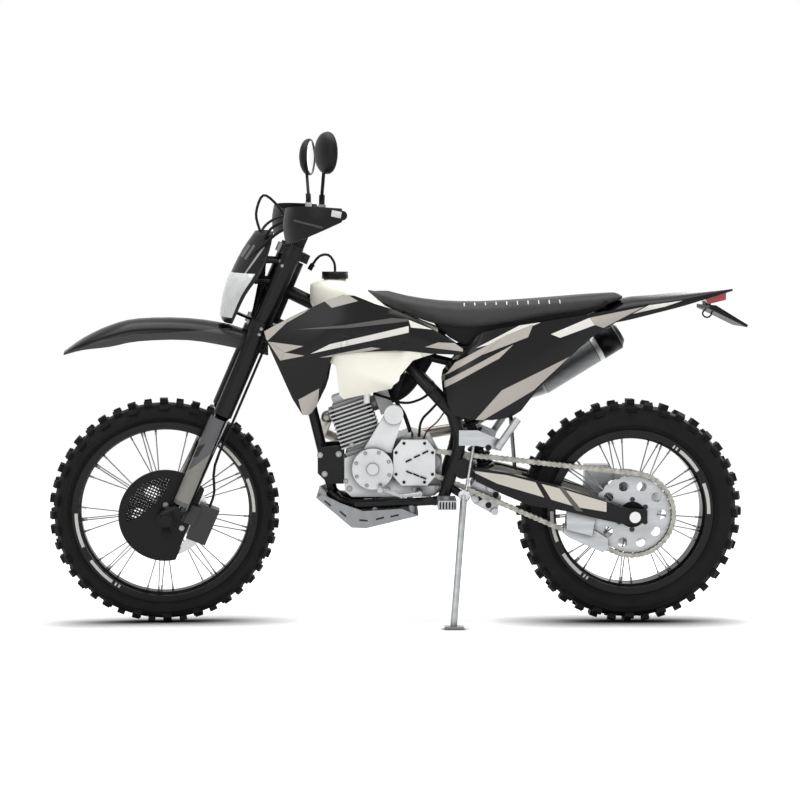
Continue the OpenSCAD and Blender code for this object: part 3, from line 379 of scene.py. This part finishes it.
def side_view(tree, body):
    """The object's coordinates turned to the upright, straight machine, in mm."""
    back = placed(body).inverted()
    where = add_node(tree, "ShaderNodeTexCoord").outputs["Object"]
    return add_node(tree, "ShaderNodeMapping", {
        "Vector": where, "Scale": (1000, 1000, 1000), "Rotation": back.to_euler("XYZ"),
        "Location": tuple(back.translation * 1000)}).outputs[0]


def copied(name, base):
    """A copy of a finish under a name of its own: its node tree and its shader."""
    material = FINISH[name] = FINISH[base].copy()
    material.name = name
    return material.node_tree, material.node_tree.nodes["Principled BSDF"]


def striped(name, base, patches, weave=0.0, body="chassis"):
    """The base finish with patches of other colours, and a woven grain where weave is more than 0.

    A patch is a list of corners, or a tuple for an arc."""
    tree, shader = copied(name, base)
    place = side_view(tree, body)
    colour = shader.inputs["Base Color"].links[0].from_socket
    if weave:
        wave = add_node(tree, "ShaderNodeTexWave", {"Vector": place, "Scale": 0.11, "Distortion": 2.5, "Detail": 3.0},
                        bands_direction="Z")
        colour = blend(tree, colour, (*linear(weave, weave, weave + 1), 1), wave.outputs["Fac"])
    for rgb, form in patches:
        mask = arc_mask(tree, place, *form) if isinstance(form, tuple) else patch_mask(tree, place, form)
        colour = blend(tree, colour, (*linear(*rgb), 1), mask)
    feed(tree, shader, {"Base Color": colour})


def ribbed(name, base, axis, pitch, depth, body="chassis"):
    """The base finish with fine ribs across an axis of the machine."""
    tree, shader = copied(name, base)
    wave = add_node(tree, "ShaderNodeTexWave", {"Vector": side_view(tree, body), "Scale": math.pi / 10 / pitch},
                    bands_direction=axis)
    bump = add_node(tree, "ShaderNodeBump", {"Distance": depth, "Height": wave.outputs["Fac"],
                                             "Normal": shader.inputs["Normal"].links[0].from_socket})
    feed(tree, shader, {"Normal": bump.outputs["Normal"]})


def strip(start, angle, low, high, half):
    """Corners of a strip of the side view, from low to high along a direction given in degrees."""
    ahead = Vector((math.cos(math.radians(angle)), math.sin(math.radians(angle))))
    aside = Vector((-ahead.y, ahead.x)) * half
    ends = [Vector(start) + ahead * low, Vector(start) + ahead * high]
    return [tuple(c) for c in (ends[0] - aside, ends[1] - aside, ends[1] + aside, ends[0] + aside)]


FRONT_AXLE = (876.0, 348.9)
REAR_AXLE = (-555.0, 347.4)
SILVER, PALE, SMOKE, DARK = (178, 173, 166), (226, 224, 218), (92, 91, 89), (12, 12, 13)
striped("panel_black", "gloss_black", [
    (SMOKE, [(468, 914), (319, 928), (310, 919)]),
    (SMOKE, [(319, 928), (181, 948), (130, 945), (132, 938), (310, 919)]),
    (SILVER, [(592, 916), (482, 965), (489, 934), (545, 881)]),
    (SILVER, [(482, 965), (394, 995), (436, 964), (489, 934)]),
    (SILVER, [(381, 1000), (312, 1018), (278, 998), (356, 978)]),
    (SILVER, [(545, 879), (438, 866), (493, 847)]),
    (SILVER, [(545, 879), (493, 847), (508, 823)]),
    (SILVER, [(493, 847), (434, 838), (508, 823)]),
    (SILVER, [(456, 707), (394, 740), (400, 678), (442, 650)]),
    (PALE, [(420, 843), (129, 905), (129, 925), (361, 872)]),
    (SILVER, [(395, 832), (240, 862), (210, 858), (330, 834)]),
    (PALE, [(130, 943), (56, 913), (123, 920)]),
    (SILVER, [(82, 862), (42, 876), (-32, 872), (-32, 848)]),
    (PALE, [(-69, 856), (-212, 930), (-267, 934), (-106, 866)]),
    (SILVER, [(28, 793), (-161, 896), (-88, 836), (28, 770)]),
    (SILVER, [(-161, 896), (-244, 929), (-228, 890), (-88, 836)]),
    (SILVER, [(24, 757), (-185, 869), (-142, 827), (21, 738)]),
    (PALE, [(-295, 899), (-412, 948), (-428, 926), (-323, 888)]),
    (SILVER, [(-412, 948), (-578, 981), (-455, 917), (-428, 926)]),
    (SILVER, [(-149, 732), (-356, 833), (-247, 732), (-43, 612)]),
], weave=27)
striped("tail_black", "gloss_black", [(PALE, [(-545, 958), (-584, 983), (-700, 999), (-644, 980)])], weave=24)
striped("arm_black", "frame_paint", [
    ((204, 200, 190), [(-66, 488), (-170, 474), (-336, 432), (-470, 392), (-470, 362), (-336, 384), (-215, 412),
                       (-140, 448), (-66, 470)]),
    (DARK, [(-250, 460), (-268, 456), (-320, 372), (-298, 376)]),
    (SMOKE, [(-320, 442), (-340, 436), (-400, 362), (-378, 366)]),
])
MUFFLER = ((-225, 690), 148.2)
striped("muffler_capped", "muffler_skin", [
    (DARK, strip(*MUFFLER, 300, 420, 80)), ((206, 207, 208), strip(*MUFFLER, 284, 299, 80)),
    (DARK, strip(*MUFFLER, 281, 283, 80)), (DARK, strip(*MUFFLER, 88, 90, 80)),
])
# painted shade: dark patches where the skid plate's slots are, for the shade seen through them
striped("skid_slot_shade", "skid_alloy", [
    ((30, 30, 31), strip((x, z), angle, -13, 13, 3))
    for x, z, angle in ((372, 388, 40), (326, 356, 40), (264, 336, 5), (214, 342, -13), (170, 350, -13))
])
# painted highlights: pale grey streaks along the top of the gloss black fender stand for the lamps' reflections
striped("fender_painted_highlights", "gloss_black", [
    ((118, 116, 112), [(1163, 844), (1000, 862), (936, 881), (1054, 880)]),
    ((60, 60, 60), [(1163, 848), (1054, 884), (960, 902), (1020, 899)]),
    ((70, 70, 70), [(900, 872), (720, 870), (700, 878), (880, 884)]),
], body="steering")
striped("guard_wedged", "guard_grey", [
    ((126, 124, 118), [(851, 411), (797, 393), (758, 500), (814, 489)]),
    ((126, 124, 118), [(814, 489), (758, 500), (738, 549)]),
    ((30, 30, 31), [(820, 520), (776, 540), (752, 580), (790, 560)]),
], body="steering")
striped("mask_edged", "screen_grey", [
    ((22, 22, 23), [(600, 1240), (470, 1240), (470, 930), (640, 930), (640, 1000), (560, 1160)]),
    ((150, 150, 148), [(572, 1167), (569, 1160), (628, 1080), (632, 1082)]),
    ((92, 92, 92), [(602, 1168), (596, 1164), (624, 1122), (630, 1126)]),
    ((92, 92, 92), [(616, 1168), (610, 1164), (634, 1128), (640, 1132)]),
], body="steering")
striped("handguard_marked", "black_plastic", [
    ((206, 206, 204), strip((372, 1263), 12, 2, 30, 9)), ((70, 70, 71), strip((470, 1240), 14, -46, 34, 3)),
], body="steering")
RIM_ARCS = ((9, -14), (-24, -44), (-46, -47.4), (-48.6, -50), (189, 166), (156, 136), (134, 132.6), (131.4, 130))
for name, axle, low, high, body in (("front_rim_arcs", FRONT_AXLE, 264, 274, "front_wheel"),
                                    ("rear_rim_arcs", REAR_AXLE, 236, 247, "rear_wheel")):
    striped(name, "rim_black", [((196, 194, 190), (axle, low, high, start - 8, end - 8)) for start, end in RIM_ARCS],
            body=body)
ribbed("grip_ribs", "rubber", "Y", 7.0, 0.002, "steering")
ribbed("coil_steel", "axle_steel", "Z", 4.0, 0.002)
ribbed("lens_flutes", "clear_lens", "Y", 14.0, 0.001, "steering")
for node, name in (("swingarm", "arm_black"), ("skid_plate", "skid_slot_shade"), ("grips", "grip_ribs"),
                   ("stand_spring", "coil_steel"), ("front_rim", "front_rim_arcs"), ("rear_rim", "rear_rim_arcs")):
    wear(node, name)
print("striped and ribbed finishes made, finishes", len(FINISH))

# %% [markdown]
# The disc guard is pierced by a fine mesh. Two crossing rows of bands make a grid of holes, and the holes are let
# through only inside the guard's window.

# %% Pierced guard
WINDOW = ((-17, 113), (0, 74), (30, 32), (76, 1), (118, -20), (128, 60), (60, 128))  # mm from the axle
WINDOW_RADIUS, HOLE_PITCH, HOLE_SPAN = 118, 9, (0.16, 0.84, 0.05)
tree, shader = copied("guard_window", "black_plastic")
place = side_view(tree, "steering")
opening = patch_mask(tree, place, [(FRONT_AXLE[0] + x, FRONT_AXLE[1] + z) for x, z in WINDOW])
pierced = calculate(tree, "MULTIPLY", opening, arc_mask(tree, place, FRONT_AXLE, 0, WINDOW_RADIUS, -90, 180))
for angle in (math.radians(25), math.radians(115)):
    across = along(tree, place, Vector((math.cos(angle), math.sin(angle))) / HOLE_PITCH)
    pierced = calculate(tree, "MULTIPLY", pierced, band(tree, calculate(tree, "FRACT", across), *HOLE_SPAN))
feed(tree, shader, {"Alpha": calculate(tree, "SUBTRACT", 1.0, pierced)})
print("guard pierced at", HOLE_PITCH, "mm")

# %% [markdown]
# The panels of the solid model are made of flat facets. A copy with its vertices merged and its normals smoothed
# shows the moulded curve, while edges sharper than the crease angle stay sharp. A copy may also wear several
# finishes, chosen for each face by where it lies on the upright machine.

# %% Smooth skins
BODY_OF = {n: b for b, ns in frame["record"]["behaviour"]["bodies"].items() for n in ns}
WELD = 2e-5  # metres within which the split corners of a solid are joined


def add_piece(name, mesh, body):
    """A finished mesh as a piece that rides on a body."""
    piece = add_object(name, mesh)
    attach(piece, body)
    return piece


def skin(node, finishes, pick=None, crease=38.0):
    """A smooth copy of a node that stands for it, with a finish picked for each face."""
    mesh = bpy.data.meshes.new(node + "_skin")
    work = bmesh.new()
    work.from_mesh(NODES[node].data)
    bmesh.ops.remove_doubles(work, verts=work.verts, dist=WELD)
    for name in finishes:
        mesh.materials.append(FINISH[name])
    for face in work.faces:
        face.smooth = True
        face.material_index = pick(upright(face.calc_center_median(), BODY_OF[node])) if pick else 0
    work.to_mesh(mesh)
    work.free()
    mesh.set_sharp_from_angle(angle=math.radians(crease))
    piece = add_piece(node + "_skin", mesh, BODY_OF[node])
    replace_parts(piece, node)


def beyond(axle, radius):
    """A pick of 0 within a radius of an axle and 1 outside it."""
    return lambda p: int(math.hypot(p.x - axle[0], p.z - axle[1]) > radius)


SKINS = [
    ("shrouds", ["panel_black"], None), ("side_panels", ["panel_black"], None),
    ("fuel_tank", ["cream_tank"], None), ("front_fender", ["fender_painted_highlights"], None),
    ("rear_fender", ["tail_black"], None), ("headlight_mask", ["mask_edged"], None),
    ("headlight_lens", ["lens_flutes"], None), ("handguards", ["handguard_marked"], None),
    ("tank_cap", ["black_plastic"], None), ("muffler", ["muffler_capped"], None),
    ("fork_guards", ["guard_wedged"], None), ("disc_guard", ["guard_window"], None),
    ("fork_sliders", ["hub_dark", "slider_chrome"], beyond(FRONT_AXLE, 95)),
    ("front_hub", ["hub_dark", "spoke_steel"], beyond(FRONT_AXLE, 62)),
    ("rear_hub", ["hub_dark", "spoke_steel"], beyond(REAR_AXLE, 84)),
]
for node, finishes, pick in SKINS:
    skin(node, finishes, pick)
print("skins", [row[0] for row in SKINS])

# %% [markdown]
# The seat is foam under a stretched cover, so it has no flat faces. Its solid is remeshed, blown up a little by
# Blender's cloth with air pressure inside, and held to a few millimetres of travel so that it stays on the
# machine.

# %% Padded seat
def mesh_tree(mesh):
    """A mesh's surface, for casting rays at it and finding its nearest point."""
    return BVHTree.FromPolygons([v.co[:] for v in mesh.vertices], [f.vertices[:] for f in mesh.polygons])


def trees_of(*nodes):
    """The surfaces of several nodes."""
    return [mesh_tree(NODES[node].data) for node in nodes]


def plain_mesh(obj, name):
    """The object's evaluated shape as a plain mesh, with the object and its modifiers gone."""
    bpy.context.view_layer.update()
    graph = bpy.context.evaluated_depsgraph_get()
    mesh = bpy.data.meshes.new_from_object(obj.evaluated_get(graph))
    mesh.name = name
    bpy.data.objects.remove(obj)
    return mesh


SEAT_VOXEL, SEAT_TRAVEL = 0.006, 0.005
SEAT_SOFTENING, SEAT_SOFT_ROUNDS = 0.5, 6
SEAT_PRESSURE, SEAT_STEPS = 4.0, 12
pad_mesh = NODES["seat"].data.copy()
work = bmesh.new()
work.from_mesh(pad_mesh)
bmesh.ops.remove_doubles(work, verts=work.verts, dist=WELD)
work.to_mesh(pad_mesh)
work.free()
pad = add_object("seat_work", pad_mesh)
remesh = pad.modifiers.new("even_grid", "REMESH")
remesh.mode, remesh.voxel_size = "VOXEL", SEAT_VOXEL
pad = add_object("seat_work", plain_mesh(pad, "seat_grid"))
soften = pad.modifiers.new("soften", "SMOOTH")
soften.factor, soften.iterations = SEAT_SOFTENING, SEAT_SOFT_ROUNDS
pad_mesh = plain_mesh(pad, "seat_soft")
rest = [v.co.copy() for v in pad_mesh.vertices]
pad = add_object("seat_work", pad_mesh)
cloth = pad.modifiers.new("foam", "CLOTH")
cloth.settings.use_pressure = True
cloth.settings.uniform_pressure_force = SEAT_PRESSURE
cloth.settings.effector_weights.gravity = 0.0
for step in range(1, SEAT_STEPS + 1):
    bpy.context.scene.frame_set(step)
pad_mesh = plain_mesh(pad, "seat_blown")
bpy.context.scene.frame_set(1)
for vertex, start in zip(pad_mesh.vertices, rest):
    move = vertex.co - start
    if move.length > SEAT_TRAVEL:
        vertex.co = start + move.normalized() * SEAT_TRAVEL
pad_mesh.shade_smooth()
pad_mesh.materials.clear()
pad_mesh.materials.append(FINISH["seat_vinyl"])
seat_pad = add_piece("seat_pad", pad_mesh, "chassis")
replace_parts(seat_pad, "seat")
print("seat pad", len(pad_mesh.polygons), "faces")

# %% [markdown]
# Foam needs a stiff tray under it. The tray closes the gap between the pad and the panels. It is one side outline,
# pulled across the machine and bevelled.

# %% Seat tray
TRAY_OUTLINE = [(62, 953), (-85, 940), (-165, 938), (-358, 973), (-470, 1002), (-470, 982), (-358, 935), (-165, 895),
                (-92, 870), (-40, 862), (4, 886), (44, 920)]
TRAY_HALF, TRAY_BEVEL = 80, 0.005
work = bmesh.new()
left, right = [[work.verts.new(parked(x, side * TRAY_HALF, z)) for x, z in TRAY_OUTLINE] for side in (1, -1)]
work.faces.new(left)
work.faces.new(right[::-1])
for k in range(len(left)):
    work.faces.new((left[k - 1], right[k - 1], right[k], left[k]))
bmesh.ops.recalc_face_normals(work, faces=work.faces)
tray_mesh = bpy.data.meshes.new("seat_tray")
work.to_mesh(tray_mesh)
work.free()
tray = add_object("seat_tray_work", tray_mesh)
edge = tray.modifiers.new("edge", "BEVEL")
edge.width, edge.segments = TRAY_BEVEL, 3
tray_mesh = plain_mesh(tray, "seat_tray")
tray_mesh.materials.append(FINISH["black_plastic"])
add_piece("seat_tray", tray_mesh, "chassis")
print("seat tray", len(tray_mesh.polygons), "faces")

# %% [markdown]
# Screws, stitches and slots repeat one small form at many places. A node group sets the form on each point of a
# carrier mesh and turns it to the direction stored there. The places come from rays cast at the machine from its
# sides, so each head sits on the surface that shows there.

# %% Screws, stitches and slots
HEX, BAR = 6, 4  # sides of the two forms
WASHER_SIDES, WASHER_WIDE, WASHER_DEEP = 20, 1.5, 0.002
GROUP_SOCKETS = (("Geometry", "INPUT", "NodeSocketGeometry"), ("Radius", "INPUT", "NodeSocketFloat"),
                 ("Height", "INPUT", "NodeSocketFloat"), ("Material", "INPUT", "NodeSocketMaterial"),
                 ("Geometry", "OUTPUT", "NodeSocketGeometry"))


def form_group(name, sides):
    """A node group that sets one small form on each point: a hexagonal head on its washer, or a bar."""
    tree = bpy.data.node_groups.new(name, "GeometryNodeTree")
    for title, way, kind in GROUP_SOCKETS:
        tree.interface.new_socket(title, in_out=way, socket_type=kind)
    given = add_node(tree, "NodeGroupInput").outputs
    form = add_node(tree, "GeometryNodeMeshCylinder", {
        "Vertices": sides, "Radius": given["Radius"], "Depth": given["Height"]}).outputs["Mesh"]
    if sides == HEX:
        washer = add_node(tree, "GeometryNodeMeshCylinder", {
            "Vertices": WASHER_SIDES, "Depth": WASHER_DEEP,
            "Radius": calculate(tree, "MULTIPLY", given["Radius"], WASHER_WIDE)})
        joined = add_node(tree, "GeometryNodeJoinGeometry", {0: form})
        feed(tree, joined, {0: washer.outputs["Mesh"]})
        form = joined.outputs[0]
    aim = add_node(tree, "GeometryNodeInputNamedAttribute", {"Name": "aim"}, data_type="FLOAT_VECTOR")
    turn = add_node(tree, "FunctionNodeAlignRotationToVector", {"Vector": aim.outputs["Attribute"]}, axis="Z")
    each = add_node(tree, "GeometryNodeInstanceOnPoints", {
        "Points": given["Geometry"], "Instance": form, "Rotation": turn.outputs["Rotation"]})
    real = add_node(tree, "GeometryNodeRealizeInstances", {"Geometry": each.outputs["Instances"]})
    paint = add_node(tree, "GeometryNodeSetMaterial", {
        "Geometry": real.outputs["Geometry"], "Material": given["Material"]})
    add_node(tree, "NodeGroupOutput", {"Geometry": paint.outputs["Geometry"]})
    return tree


def set_out(name, group, places, radius, height, material, body):
    """One plain piece with the group's form at each place, a point and a direction."""
    carrier = bpy.data.meshes.new(name + "_places")
    carrier.from_pydata([point for point, _ in places], [], [])
    aim = carrier.attributes.new("aim", "FLOAT_VECTOR", "POINT")
    for entry, (_, direction) in zip(aim.data, places):
        entry.vector = direction
    holder = add_object(name + "_holder", carrier)
    modifier = holder.modifiers.new("set_out", "NODES")
    modifier.node_group = group
    values = {"Radius": radius, "Height": height, "Material": FINISH[material]}
    for item in group.interface.items_tree:
        if item.in_out == "INPUT" and item.name in values:
            modifier[item.identifier] = values[item.name]
    add_piece(name, plain_mesh(holder, name), body)


CAST_FROM = 700  # mm to the side of the machine's middle


def touch(x, z, side, trees, body="chassis"):
    """Where a ray from the left (1) or right (-1) first meets one of the surfaces, and the direction out of it."""
    start = parked(x, side * CAST_FROM, z, body)
    into = placed(body).to_3x3() @ Vector((0, -side, 0))
    hits = [hit for hit in (tree.ray_cast(start, into) for tree in trees) if hit[0] is not None]
    if not hits:
        return None
    point, normal, _, _ = min(hits, key=lambda hit: hit[3])
    return point, normal if normal.dot(into) < 0 else -normal


def touches(spots, nodes, body="chassis", sides=(1,)):
    """The places of several spots of the side view that meet a surface."""
    trees = trees_of(*nodes)
    found = [touch(x, z, side, trees, body) for x, z in spots for side in sides]
    return [place for place in found if place]


def ring(x, z, radius, count, start=0.0):
    """Spots evenly round a centre, the first at a start angle in degrees."""
    turns = [math.radians(start + 360 * k / count) for k in range(count)]
    return [(x + radius * math.cos(a), z + radius * math.sin(a)) for a in turns]


screws, bars = form_group("screws", HEX), form_group("bars", BAR)
BOTH = (1, -1)
ENGINE = ["crankcase", "cylinder", "engine_covers"]
FRAME = ["main_frame", "swingarm", "linkage", "footpegs", "foot_controls", "skid_plate"]
CASE_SPOTS = [(330, 520), (318, 450), (300, 560), (60, 600), (40, 430), (110, 425), (190, 425), (215, 640)]
HEX_COVER_SPOTS = [(56, 476), (80, 452), (142, 452), (166, 476), (166, 542), (142, 570), (80, 570), (56, 542)]
FRAME_SPOTS = [(397, 528), (383, 470), (340, 531), (307, 427)]
LINK_SPOTS = [(-90, 395), (-118, 372), (-140, 404), (-44, 566), (-110, 560)]
GUARD_SPOTS = [(875, 382), (755, 385), (828, 309)]
CLAMP_SPOTS = [(520, 1108), (526, 1122), (590, 905), (584, 922)]
RIGHT_SPOTS = ring(205, 488, 72, 9, 10) + ring(110, 500, 44, 6)
SCREW_SETS = [  # name, spots, nodes, body, sides, radius, height, finish
    ("cover_screws", ring(236, 492, 53, 8, 20), ENGINE, "chassis", (1,), 0.0035, 0.005, "bolt_steel"),
    ("case_screws", CASE_SPOTS, ENGINE, "chassis", (1,), 0.005, 0.006, "bolt_steel"),
    ("hex_screws", HEX_COVER_SPOTS, ENGINE, "chassis", (1,), 0.003, 0.004, "hub_dark"),
    ("right_screws", RIGHT_SPOTS, ENGINE, "chassis", (-1,), 0.0035, 0.005, "bolt_steel"),
    ("frame_screws", FRAME_SPOTS, FRAME + ENGINE, "chassis", BOTH, 0.006, 0.006, "bolt_steel"),
    ("link_screws", LINK_SPOTS, FRAME, "chassis", (1,), 0.006, 0.006, "hub_dark"),
    ("guard_screws", GUARD_SPOTS, ["disc_guard", "front_caliper", "fork_sliders"], "steering", (1,), 0.0055, 0.005,
     "bolt_steel"),
    ("clamp_screws", CLAMP_SPOTS, ["triple_clamps", "fork_tubes"], "steering", BOTH, 0.0034, 0.005, "bolt_steel"),
    ("sprocket_screws", ring(*REAR_AXLE, 46, 6, 30), ["rear_hub", "rear_sprocket"], "rear_wheel", (1,), 0.005, 0.004,
     "caliper_dark"),
    ("disc_screws", ring(*REAR_AXLE, 40, 6), ["rear_hub", "rear_disc"], "rear_wheel", (-1,), 0.004, 0.004,
     "bolt_steel"),
]
for name, spots, nodes, body, sides, radius, height, material in SCREW_SETS:
    places = touches(spots, nodes, body, sides)
    set_out(name, screws, places, radius, height, material, body)
    print(name, len(places))

# painted shade: dark bars on the cover stand for the shade inside its slots
COVER_SLOTS = ((128, 518, -81, 39), (103, 531, -81, 39), (78, 543, -81, 39),  # place, direction
               (126, 482, -62, -25), (105, 474, -62, -25), (84, 466, -62, -25))
GROOVES_X, GROOVES_Z = (37, 28, 19, 10, 1, -6), 402
STITCHES, STITCH_START, STITCH_STEP = 10, (-38, 986), (-31.8, 1.1)
slope = placed("chassis").to_3x3()
slots = [(place[0], slope @ Vector((dx, 0, dz)).normalized())
         for x, z, dx, dz in COVER_SLOTS for place in touches([(x, z)], ENGINE)]
set_out("cover_slots", bars, slots, 0.0028, 0.019, "hub_dark", "chassis")
# painted shade: dark bars across the pegs stand for the shade in their grooves
grooves = [(place[0], slope @ Vector((0, 0, 1)))
           for place in touches([(x, GROOVES_Z) for x in GROOVES_X], ["footpegs"], sides=BOTH)]
set_out("peg_grooves", bars, grooves, 0.0022, 0.02, "hub_dark", "chassis")
pad_trees = [mesh_tree(pad_mesh)]
stitches = []
for k in range(STITCHES):
    for side in BOTH:
        place = touch(STITCH_START[0] + STITCH_STEP[0] * k, STITCH_START[1] + STITCH_STEP[1] * k, side, pad_trees)
        if place:
            stitches.append((place[0], place[1].cross(slope @ Vector((1, 0, 0))).normalized()))
set_out("seat_stitches", bars, stitches, 0.0018, 0.015, "pale_trim", "chassis")
print("slots", len(slots), "grooves", len(grooves), "stitches", len(stitches))

# %% [markdown]
# Between mask and fork run the brackets of the lamp and the cables of the bars. Round the engine run an air boot and
# a few wires. Each is a round section swept along a few points. A cable has to be held at both ends, so its first
# and last points are moved onto the nearest surface that can carry it. The valve on the tank's vent tube is short
# and stays where it is drawn.

# %% Cables and lamp brackets
def cable(name, points, radius, material, body):
    """A section with a radius in metres along a smooth line through points of the upright machine, in mm."""
    line = bpy.data.curves.new(name, "CURVE")
    line.dimensions = "3D"
    line.bevel_depth, line.bevel_resolution = radius, 3
    line.use_fill_caps = True
    path = line.splines.new("BEZIER")
    path.resolution_u = 10
    path.bezier_points.add(len(points) - 1)
    for knot, place in zip(path.bezier_points, points):
        knot.co = parked(*place, body)
        knot.handle_left_type = knot.handle_right_type = "AUTO"
    mesh = plain_mesh(add_object(name + "_line", line), name)
    mesh.materials.clear()
    mesh.materials.append(FINISH[material])
    mesh.shade_smooth()
    add_piece(name, mesh, body)


def seated(points, body, trees):
    """The same points, with the first and last moved onto the nearest of the surfaces that can carry them."""
    ends = []
    for point in (points[0], points[-1]):
        spot = parked(*point, body)
        hit = min((tree.find_nearest(spot) for tree in trees), key=lambda found: found[3])
        ends.append(tuple(upright(hit[0], body)))
    return [ends[0], *points[1:-1], ends[1]]


BRACKET_HEIGHTS, BRACKET_TRIES = (1000, 1060, 1120), (580, 590, 600, 612, 624)
LEG_X, LEG_Z, LEG_OUT = 540, 1050, 96  # a place on the fork leg, which follows the rake
mask_trees = trees_of("headlight_mask")
made = 0
for side in BOTH:
    for z in BRACKET_HEIGHTS:
        for x in BRACKET_TRIES:
            place = touch(x, z, side, mask_trees, "steering")
            if place:
                end = upright(place[0], "steering")
                leg = LEG_X - (z - LEG_Z) * math.tan(RAKE)
                points = [(leg, side * LEG_OUT, z - 4), ((leg + x) / 2, side * 90, z), (end.x, end.y - side * 3, end.z)]
                cable(f"lamp_bracket_{made}", points, 0.007, "black_plastic", "steering")
                made += 1
                break
CABLE_RADIUS = 0.0042
CABLES = {
    "clutch_cable": [(470, 150, 1244), (520, 120, 1236), (566, 70, 1190), (568, 44, 1110), (582, 52, 1030),
                     (590, 56, 974)],
    "throttle_cable": [(470, -150, 1244), (530, -110, 1240), (580, -56, 1180), (572, -44, 1100), (584, -56, 1030),
                       (590, -60, 974)],
    "lamp_loom": [(600, 30, 1130), (575, 62, 1080), (566, 66, 1020), (584, 40, 980)],
    "meter_loom": [(604, -24, 1150), (572, -50, 1120), (566, -56, 1070), (582, -44, 984)],
    "switch_loom": [(474, 150, 1238), (522, 132, 1212), (572, 84, 1168), (598, 46, 1120)],
}
steering_trees = trees_of("headlight_mask", "triple_clamps", "handlebar", "levers")
for name, points in CABLES.items():
    cable(name, seated(points, "steering", steering_trees), CABLE_RADIUS, "rubber", "steering")
ENGINE_LINES = {  # points, radius, finish
    "air_boot": ([(225, -8, 690), (160, -8, 714), (108, -8, 770), (60, -8, 850), (20, -8, 925)], 0.026, "rubber"),
    "ignition_wire": ([(236, 40, 712), (196, 66, 704), (140, 92, 690), (98, 104, 700), (60, 108, 728)], 0.004,
                      "rubber"),
    "earth_wire": ([(34, 110, 700), (62, 100, 668), (88, 84, 636), (96, 66, 585)], 0.004, "rubber"),
    "gear_wire": ([(10, 111, 674), (42, 102, 634), (70, 86, 606), (84, 70, 572)], 0.0025, "wire_red"),
    "main_loom": ([(128, 74, 802), (152, 66, 752), (166, 58, 700), (140, 64, 650), (118, 58, 585)], 0.006, "rubber"),
    "breather_valve": ([(419, 0, 1107), (425, 0, 1098), (430, 0, 1089)], 0.0075, "rubber"),
    "tail_loop": ([(-778, 34, 975), (-768, 34, 958), (-780, 34, 947), (-794, 34, 955), (-796, 34, 966)], 0.0025,
                  "rubber"),
}
chassis_trees = [mesh_tree(tray_mesh)] + trees_of("main_frame", "crankcase", "cylinder", "engine_covers",
                                                  "plate_holder", "tail_light", "tank_cap")
for name, (points, radius, material) in ENGINE_LINES.items():
    route = points if name == "breather_valve" else seated(points, "chassis", chassis_trees)
    cable(name, route, radius, material, "chassis")
print("brackets", made, "cables", list(CABLES) + list(ENGINE_LINES))

# %% [markdown]
# A mirror's housing and its face are forms of revolution. They are spun here with many more steps than the solids
# have, so that the rim is a clean circle, and each is set a little towards the rider. Its stem ends in a collar.

# %% Mirrors
def spun(name, forms, material, body, steps=56):
    """One mesh of several forms of revolution: profile of radius and height, centre, axis and a steady direction."""
    verts, faces = [], []
    for profile, centre, axis, across in forms:
        third = axis.cross(across)
        first = len(verts)
        for radius, height in profile:
            for k in range(steps):
                a = 2 * math.pi * k / steps
                spoke = (across * math.cos(a) + third * math.sin(a)) * radius
                verts.append(parked(*(centre + axis * height + spoke), body))
        for row in range(len(profile) - 1):
            for k in range(steps):
                a, b = first + row * steps + k, first + row * steps + (k + 1) % steps
                faces.append((a, b, b + steps, a + steps))
    mesh = bpy.data.meshes.new(name)
    mesh.from_pydata(verts, [], faces)
    work = bmesh.new()
    work.from_mesh(mesh)
    bmesh.ops.remove_doubles(work, verts=work.verts, dist=1e-6)
    bmesh.ops.recalc_face_normals(work, faces=work.faces)
    work.to_mesh(mesh)
    work.free()
    mesh.shade_smooth()
    mesh.materials.append(FINISH[material])
    return add_piece(name, mesh, body)


HOUSING = [(0, 34), (14, 33.4), (26, 31.6), (38, 28), (47, 23.6), (54, 18), (57.6, 12), (59, 6), (58.8, 1), (57, -2),
           (54, -2), (52.4, -0.4), (0, -0.4)]
FACE = [(0, -1.8), (30, -1.8), (51.6, -1.6), (52, -0.8), (50, -0.3), (0, -0.3)]
TOWARDS_RIDER = math.radians(19)
MIRROR_X, MIRROR_OUT, MIRROR_UP, MIRROR_BACK = 413, 330, 1435, 14
UP = Vector((0, 0, 1))
STEM_PARTS = (  # name, points across and up, radius
    ("stem", [(250, 1290), (250, 1308), (286, 1352), (322, 1395), (330, 1425)], 0.005),
    ("collar", [(250, 1290), (250, 1304), (256, 1316)], 0.0085),
)
housings, faces = [], []
for hand, side in (("left", 1), ("right", -1)):
    axis = Vector((math.cos(TOWARDS_RIDER), side * math.sin(TOWARDS_RIDER), 0))
    centre = Vector((MIRROR_X, side * MIRROR_OUT, MIRROR_UP)) - axis * MIRROR_BACK
    housings.append((HOUSING, centre, axis, UP))
    faces.append((FACE, centre, axis, UP))
    for part, line, radius in STEM_PARTS:
        cable(f"mirror_{part}_{hand}", [(MIRROR_X, side * y, z) for y, z in line], radius, "black_plastic",
              "steering")
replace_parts(spun("mirror_housings", housings, "black_plastic", "steering"), "mirrors")
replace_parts(spun("mirror_faces", faces, "mirror_face", "steering"), "mirror_glass")
print("mirrors turned", math.degrees(TOWARDS_RIDER), "degrees")
